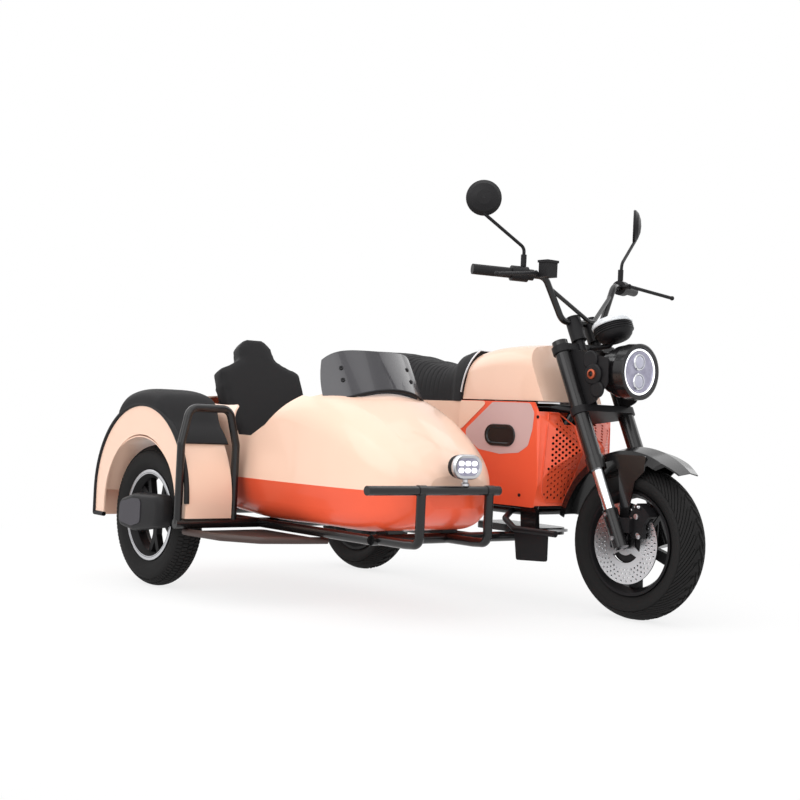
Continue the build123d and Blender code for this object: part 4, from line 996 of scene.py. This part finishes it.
def seat_edge(turn):
    """How far forward the seat's front edge lies at a place round its section."""
    return between(SEAT_EDGE, abs(math.sin(turn)))


def seat_size(x):
    """Height of the seat above its floor and half its width."""
    return between(SEAT_TOP, x, ease=True) - SEAT_FLOOR, seat_half(x)


def round_end(share):
    """Fullness of a rounded end, from nothing at its tip to all."""
    return math.sqrt(max(0.0, 1 - (1 - min(1.0, share)) ** 2))


def motorcycle_seat():
    """Long seat of pleated vinyl: rounded section, transverse channels and a smooth band by the tank."""
    stations, around = 330, 30
    points = []
    for i in range(stations + 1):
        x = SEAT_START + (SEAT_END - SEAT_START) * i / stations
        shrink = 0.55 + 0.45 * round_end((x - SEAT_START) / 60.0)
        shrink *= 0.97 + 0.03 * round_end((SEAT_END - x) / 14.0)
        channel = 0.0
        if 20 < x < 588:
            phase = (x % 24.0) / 24.0 - 0.5
            channel = 3.4 * math.exp(-((phase / 0.10) ** 2))
        for j in range(around + 1):
            turn = math.pi * j / around
            c, s = math.cos(turn), math.sin(turn)
            place = x
            if x >= SEAT_WRAP:
                place += (x - SEAT_WRAP) * (seat_edge(turn) - SEAT_END) / (SEAT_END - SEAT_WRAP)
            height, half = seat_size(place)
            inward = channel * (min(1.0, abs(s) * 1.4))
            y = half * shrink * bulged(c, 0.52) - inward * c
            z = SEAT_FLOOR + height * (0.6 + 0.4 * shrink) * abs(s) ** 0.60 - inward * s
            points.append((place, y, z))
    faces = grid_faces(stations + 1, around + 1, around=True, capped=True)
    seat = joined("seat_dressed", [mesh_part(points, faces, VINYL, 50.0)])
    dress(seat, "chassis", "seat", "seat")


def seat_piping():
    """Silver piping along the seat's front edge."""
    path = []
    for j in range(1, 60):
        turn = math.pi * j / 60
        c, s = math.cos(turn), math.sin(turn)
        x = seat_edge(turn) - 3.0
        height, half = seat_size(x)
        z = SEAT_FLOOR + height * abs(s) ** 0.60 + 0.6 * s
        path.append(Vector((x, half * bulged(c, 0.52) * 1.006, z)))
    dressed("seat_piping", [tube_part(path, 3.0, PIPING, 10)], "chassis", "seat")


motorcycle_seat()
seat_piping()


def puffed(name, stands_for, voxel, cap, narrow=1.0):
    """Padded piece from a node's shape: narrowed, remeshed, blown up as cloth, then smoothed."""
    shrink, frames = 0.003, 20
    piece = cad_copy(stands_for, name)
    inset = bmesh.new()
    inset.from_mesh(piece.data)
    bmesh.ops.recalc_face_normals(inset, faces=inset.faces)
    inset.normal_update()
    inner = max(vert.co.y for vert in inset.verts)
    for vert in inset.verts:
        vert.co -= vert.normal * shrink
        vert.co.y = inner + (vert.co.y - inner) * narrow
    inset.to_mesh(piece.data)
    inset.free()
    remesh = piece.modifiers.new("remesh", "REMESH")
    remesh.mode = "VOXEL"
    remesh.voxel_size = voxel
    mesh = evaluated_mesh(piece)
    piece.modifiers.clear()
    piece.data = mesh
    cloth = piece.modifiers.new("cloth", "CLOTH")
    cloth.settings.quality = 5
    cloth.settings.use_pressure = True
    cloth.settings.uniform_pressure_force = 3.0
    cloth.settings.effector_weights.gravity = 0.0
    cloth.point_cache.frame_start = 1
    cloth.point_cache.frame_end = frames
    for step in range(1, frames + 1):
        bpy.context.scene.frame_set(step)
    moved = evaluated_mesh(piece)
    piece.modifiers.clear()
    for vert, after in zip(mesh.vertices, moved.vertices):
        shift = after.co - vert.co
        if shift.length > cap:
            shift *= cap / shift.length
        vert.co += shift
    bpy.context.scene.frame_set(1)
    soft = piece.modifiers.new("soft", "SMOOTH")
    soft.iterations = 12
    soft.factor = 0.5
    piece.data = evaluated_mesh(piece)
    piece.modifiers.clear()
    piece.data.materials.clear()
    piece.data.materials.append(VINYL)
    piece.data.shade_smooth()
    dress(piece, "chassis", stands_for, stands_for)


puffed("sidecar_back_padded", "sidecar_seat_back", 0.006, 0.006, narrow=0.86)
puffed("sidecar_cushion_padded", "sidecar_seat_cushion", 0.007, 0.008)

# The sidecar's fender: the middle of its round, its radius and its outer side
FENDER_X, FENDER_Z, FENDER_R, FENDER_Y = 166.0, 302.0, 310.0, -1099.0


def armrest():
    """Domed pad on the fender's top, with an apron that follows the fender's front down to the hoop."""
    roof, rise, edge = FENDER_R + 1.0, 52.0, 7.0
    stations, around = 70, 28
    points = []
    for i in range(stations + 1):
        angle = 120.0 - 83.0 * i / stations
        share = eased(min(1.0, max(0.0, (angle - 50.0) / 24.0)))
        height = edge + (rise - edge) * share
        if angle > 106.0:
            height *= math.sqrt(max(0.0, 1 - ((angle - 106.0) / 14.0) ** 2))
        outer, inner = -1101.0 - 6.0 * share, -914.0 + 30.0 * share
        middle, half = (outer + inner) / 2, (inner - outer) / 2
        turn = math.radians(angle)
        for j in range(around + 1):
            over = math.pi * j / around
            radius = roof + max(1.0, height) * abs(math.sin(over)) ** 0.55
            y = middle + half * bulged(math.cos(over), 0.5)
            points.append((FENDER_X + radius * math.cos(turn), y, FENDER_Z + radius * math.sin(turn)))
    faces = grid_faces(stations + 1, around + 1, around=True, capped=True)
    pad = joined("armrest_padded", [mesh_part(points, faces, VINYL, 60.0)])
    dress(pad, "chassis", "armrest_pad", "armrest_pad")


def arm_cover():
    """Moulded cover with round edges and a raised panel whose lighter grey is a painted sheen on the cover's
    rear part.
    """
    corners = [(94, 203), (98, 288), (200, 316), (382, 320), (382, 217), (200, 190)]
    field = [(122, 216), (125, 281), (205, 299), (262, 300), (262, 222), (205, 207)]
    middle = Vector((238.0, 255.0))
    levels = ((1.0, -1094.8), (1.0, -1124.0), (0.97, -1134.0), (0.90, -1141.0), (0.80, -1144.0))
    points = []
    for share, y in levels:
        ring = rounded_ring([middle + (Vector(corner) - middle) * share for corner in corners], 34.0)
        points += [(x, y, z) for x, z in ring]
    faces = grid_faces(len(levels), len(points) // len(levels), around=True, capped=True)
    shell = mesh_part(points, faces, BLACK_MOULDED, 50.0)
    # The raised panel's lighter grey is a painted sheen on the cover's rear part.
    panel = plate(field, -1146.5, -1140.0, 20.0, PAINTED_SHEEN_MOULDED)
    dressed("arm_cover_dressed", [shell, panel], "chassis", "arm_cover", "arm_cover")


armrest()
arm_cover()


def springs(name, stands_for, rows, turns, radius, wire_radius):
    """Coil springs over dampers; each row is the foot and the top."""
    parts = []
    for foot, top in rows:
        foot, top = Vector(foot), Vector(top)
        along = (top - foot).normalized()
        length = (top - foot).length
        values = {
            "Turns": turns,
            "Radius": radius / 1000,
            "Wire": wire_radius / 1000,
            "Length": (length - 90.0) / 1000,
            "Material": BLACK_PAINT,
        }
        parts.append(grown("spring", point_mesh([(foot + along * 44.0, along)]), SPRING_TREE, values, 60.0))
        seat = radius + 1
        damper = [(0, 0), (9, 0), (9, 20), (13, 24), (13, 38), (seat, 39), (seat, 45), (14, 46)]
        damper += [(14, length * 0.55), (7, length * 0.55 + 2), (7, length - 52), (seat, length - 48)]
        damper += [(seat, length - 42), (11, length - 38), (11, length), (0, length)]
        parts.append(turned_part(damper, foot, along, BLACK_PAINT, 32))
    dressed(name, parts, "chassis", stands_for, stands_for)


side_rows = [((250, -908, 244.3), (250, -908, 593.7))]
rear_rows = [((62.2, side * 132, 258.0), (147.8, side * 132, 562.0)) for side in SIDES]
springs("sidecar_spring", "sidecar_shock", side_rows, 9.0, 17.0, 3.6)
springs("rear_springs", "rear_shocks", rear_rows, 8.0, 19.0, 3.8)


def fender_edging():
    """Black rubber edging along the fender's outer rim and rear foot."""
    centre = Vector((FENDER_X, FENDER_Y, FENDER_Z))
    path = [Vector((FENDER_X + FENDER_R, FENDER_Y, 300.0))]
    for index in range(41):
        turn = math.pi * index / 40
        path.append(centre + Vector((math.cos(turn), 0, math.sin(turn))) * FENDER_R)
    path.append(Vector((FENDER_X - FENDER_R, FENDER_Y, 222.0)))
    foot = [Vector((-146.0, FENDER_Y, 222.0)), Vector((-77.0, FENDER_Y, 222.0))]
    parts = [tube_part(path, 8.5, BLACK_MOULDED, 12, 50.0), tube_part(foot, 8.0, BLACK_MOULDED, 12, 50.0)]
    dressed("fender_edging", parts, "chassis", "sidecar_fender")


fender_edging()


# Floor, light and background
def seen_straight(tree):
    """1 for rays from the camera, from gloss and through glass, which all see a white surround."""
    ray = tree.nodes.new("ShaderNodeLightPath").outputs
    value = ray["Is Camera Ray"]
    for label in ("Is Glossy Ray", "Is Transmission Ray"):
        value = calculated(tree, "MAXIMUM", value, ray[label])
    return value


def mixed(tree, share, first, second):
    return add_node(tree, "ShaderNodeMixShader", {0: share, 1: first, 2: second}).outputs[0]


def make_floor():
    """Plain pale floor that keeps the shadow and fades to white far out."""
    reach = 40.0
    mesh = bpy.data.meshes.new("floor")
    corners = [(-reach, -reach, 0), (reach, -reach, 0), (reach, reach, 0), (-reach, reach, 0)]
    mesh.from_pydata(corners, [], [(0, 1, 2, 3)])
    material, tree, shader, place = blank_material("pale floor")
    colour = ramp(tree, noise(tree, place, 0.6), (0.90, 0.90, 0.90), (0.93, 0.93, 0.93))
    wire(tree, shader, {"Base Color": colour, "Roughness": 0.9, "Specular IOR Level": 0.1})
    far = add_node(tree, "ShaderNodeVectorMath", {0: place}, operation="LENGTH").outputs["Value"]
    limits = {"Value": far, "From Min": 0.9, "From Max": 2.6, "To Min": 0.80}
    fade = add_node(tree, "ShaderNodeMapRange", limits).outputs[0]
    share = calculated(tree, "MULTIPLY", fade, seen_straight(tree))
    glow = tree.nodes.new("ShaderNodeEmission").outputs[0]
    surface = mixed(tree, share, shader.outputs[0], glow)
    tree.links.new(surface, tree.nodes["Material Output"].inputs["Surface"])
    mesh.materials.append(material)
    placed("floor", mesh)


def make_lights():
    """Soft area lamps; each row is the place, the target, the size and the watts."""
    for name, spot, target, size, watts in (
        ("key", (0.6, -4.4, 3.6), (0.2, -0.3, 0.5), 4.5, 120.0),
        ("front", (4.6, -1.6, 2.4), (0.3, 0.0, 0.5), 4.0, 60.0),
        ("top", (0.2, -0.4, 4.6), (0.0, -0.2, 0.5), 4.5, 80.0),
        ("rear", (-4.2, -1.2, 3.0), (0.0, -0.2, 0.5), 3.6, 55.0),
        ("far", (0.5, 4.0, 3.4), (0.0, 0.3, 0.6), 3.6, 55.0),
    ):
        lamp = bpy.data.lights.new(name, "AREA")
        lamp.size = size
        lamp.energy = watts
        holder = placed(name, lamp)
        holder.location = spot
        aim = Vector(target) - Vector(spot)
        holder.rotation_euler = aim.to_track_quat("-Z", "Y").to_euler()


def make_surround():
    """White surround that lights the scene with part of its strength."""
    world = bpy.data.worlds.new("surround")
    world.use_nodes = True
    tree = world.node_tree
    tree.nodes.clear()
    light, seen = [
        add_node(tree, "ShaderNodeBackground", {"Strength": strength, "Color": (1, 1, 1, 1)}).outputs[0]
        for strength in (0.55, 1.0)
    ]
    add_node(tree, "ShaderNodeOutputWorld", {0: mixed(tree, seen_straight(tree), light, seen)})
    bpy.context.scene.world = world


make_floor()
make_lights()
make_surround()
bpy.context.scene.view_settings.view_transform = "Standard"
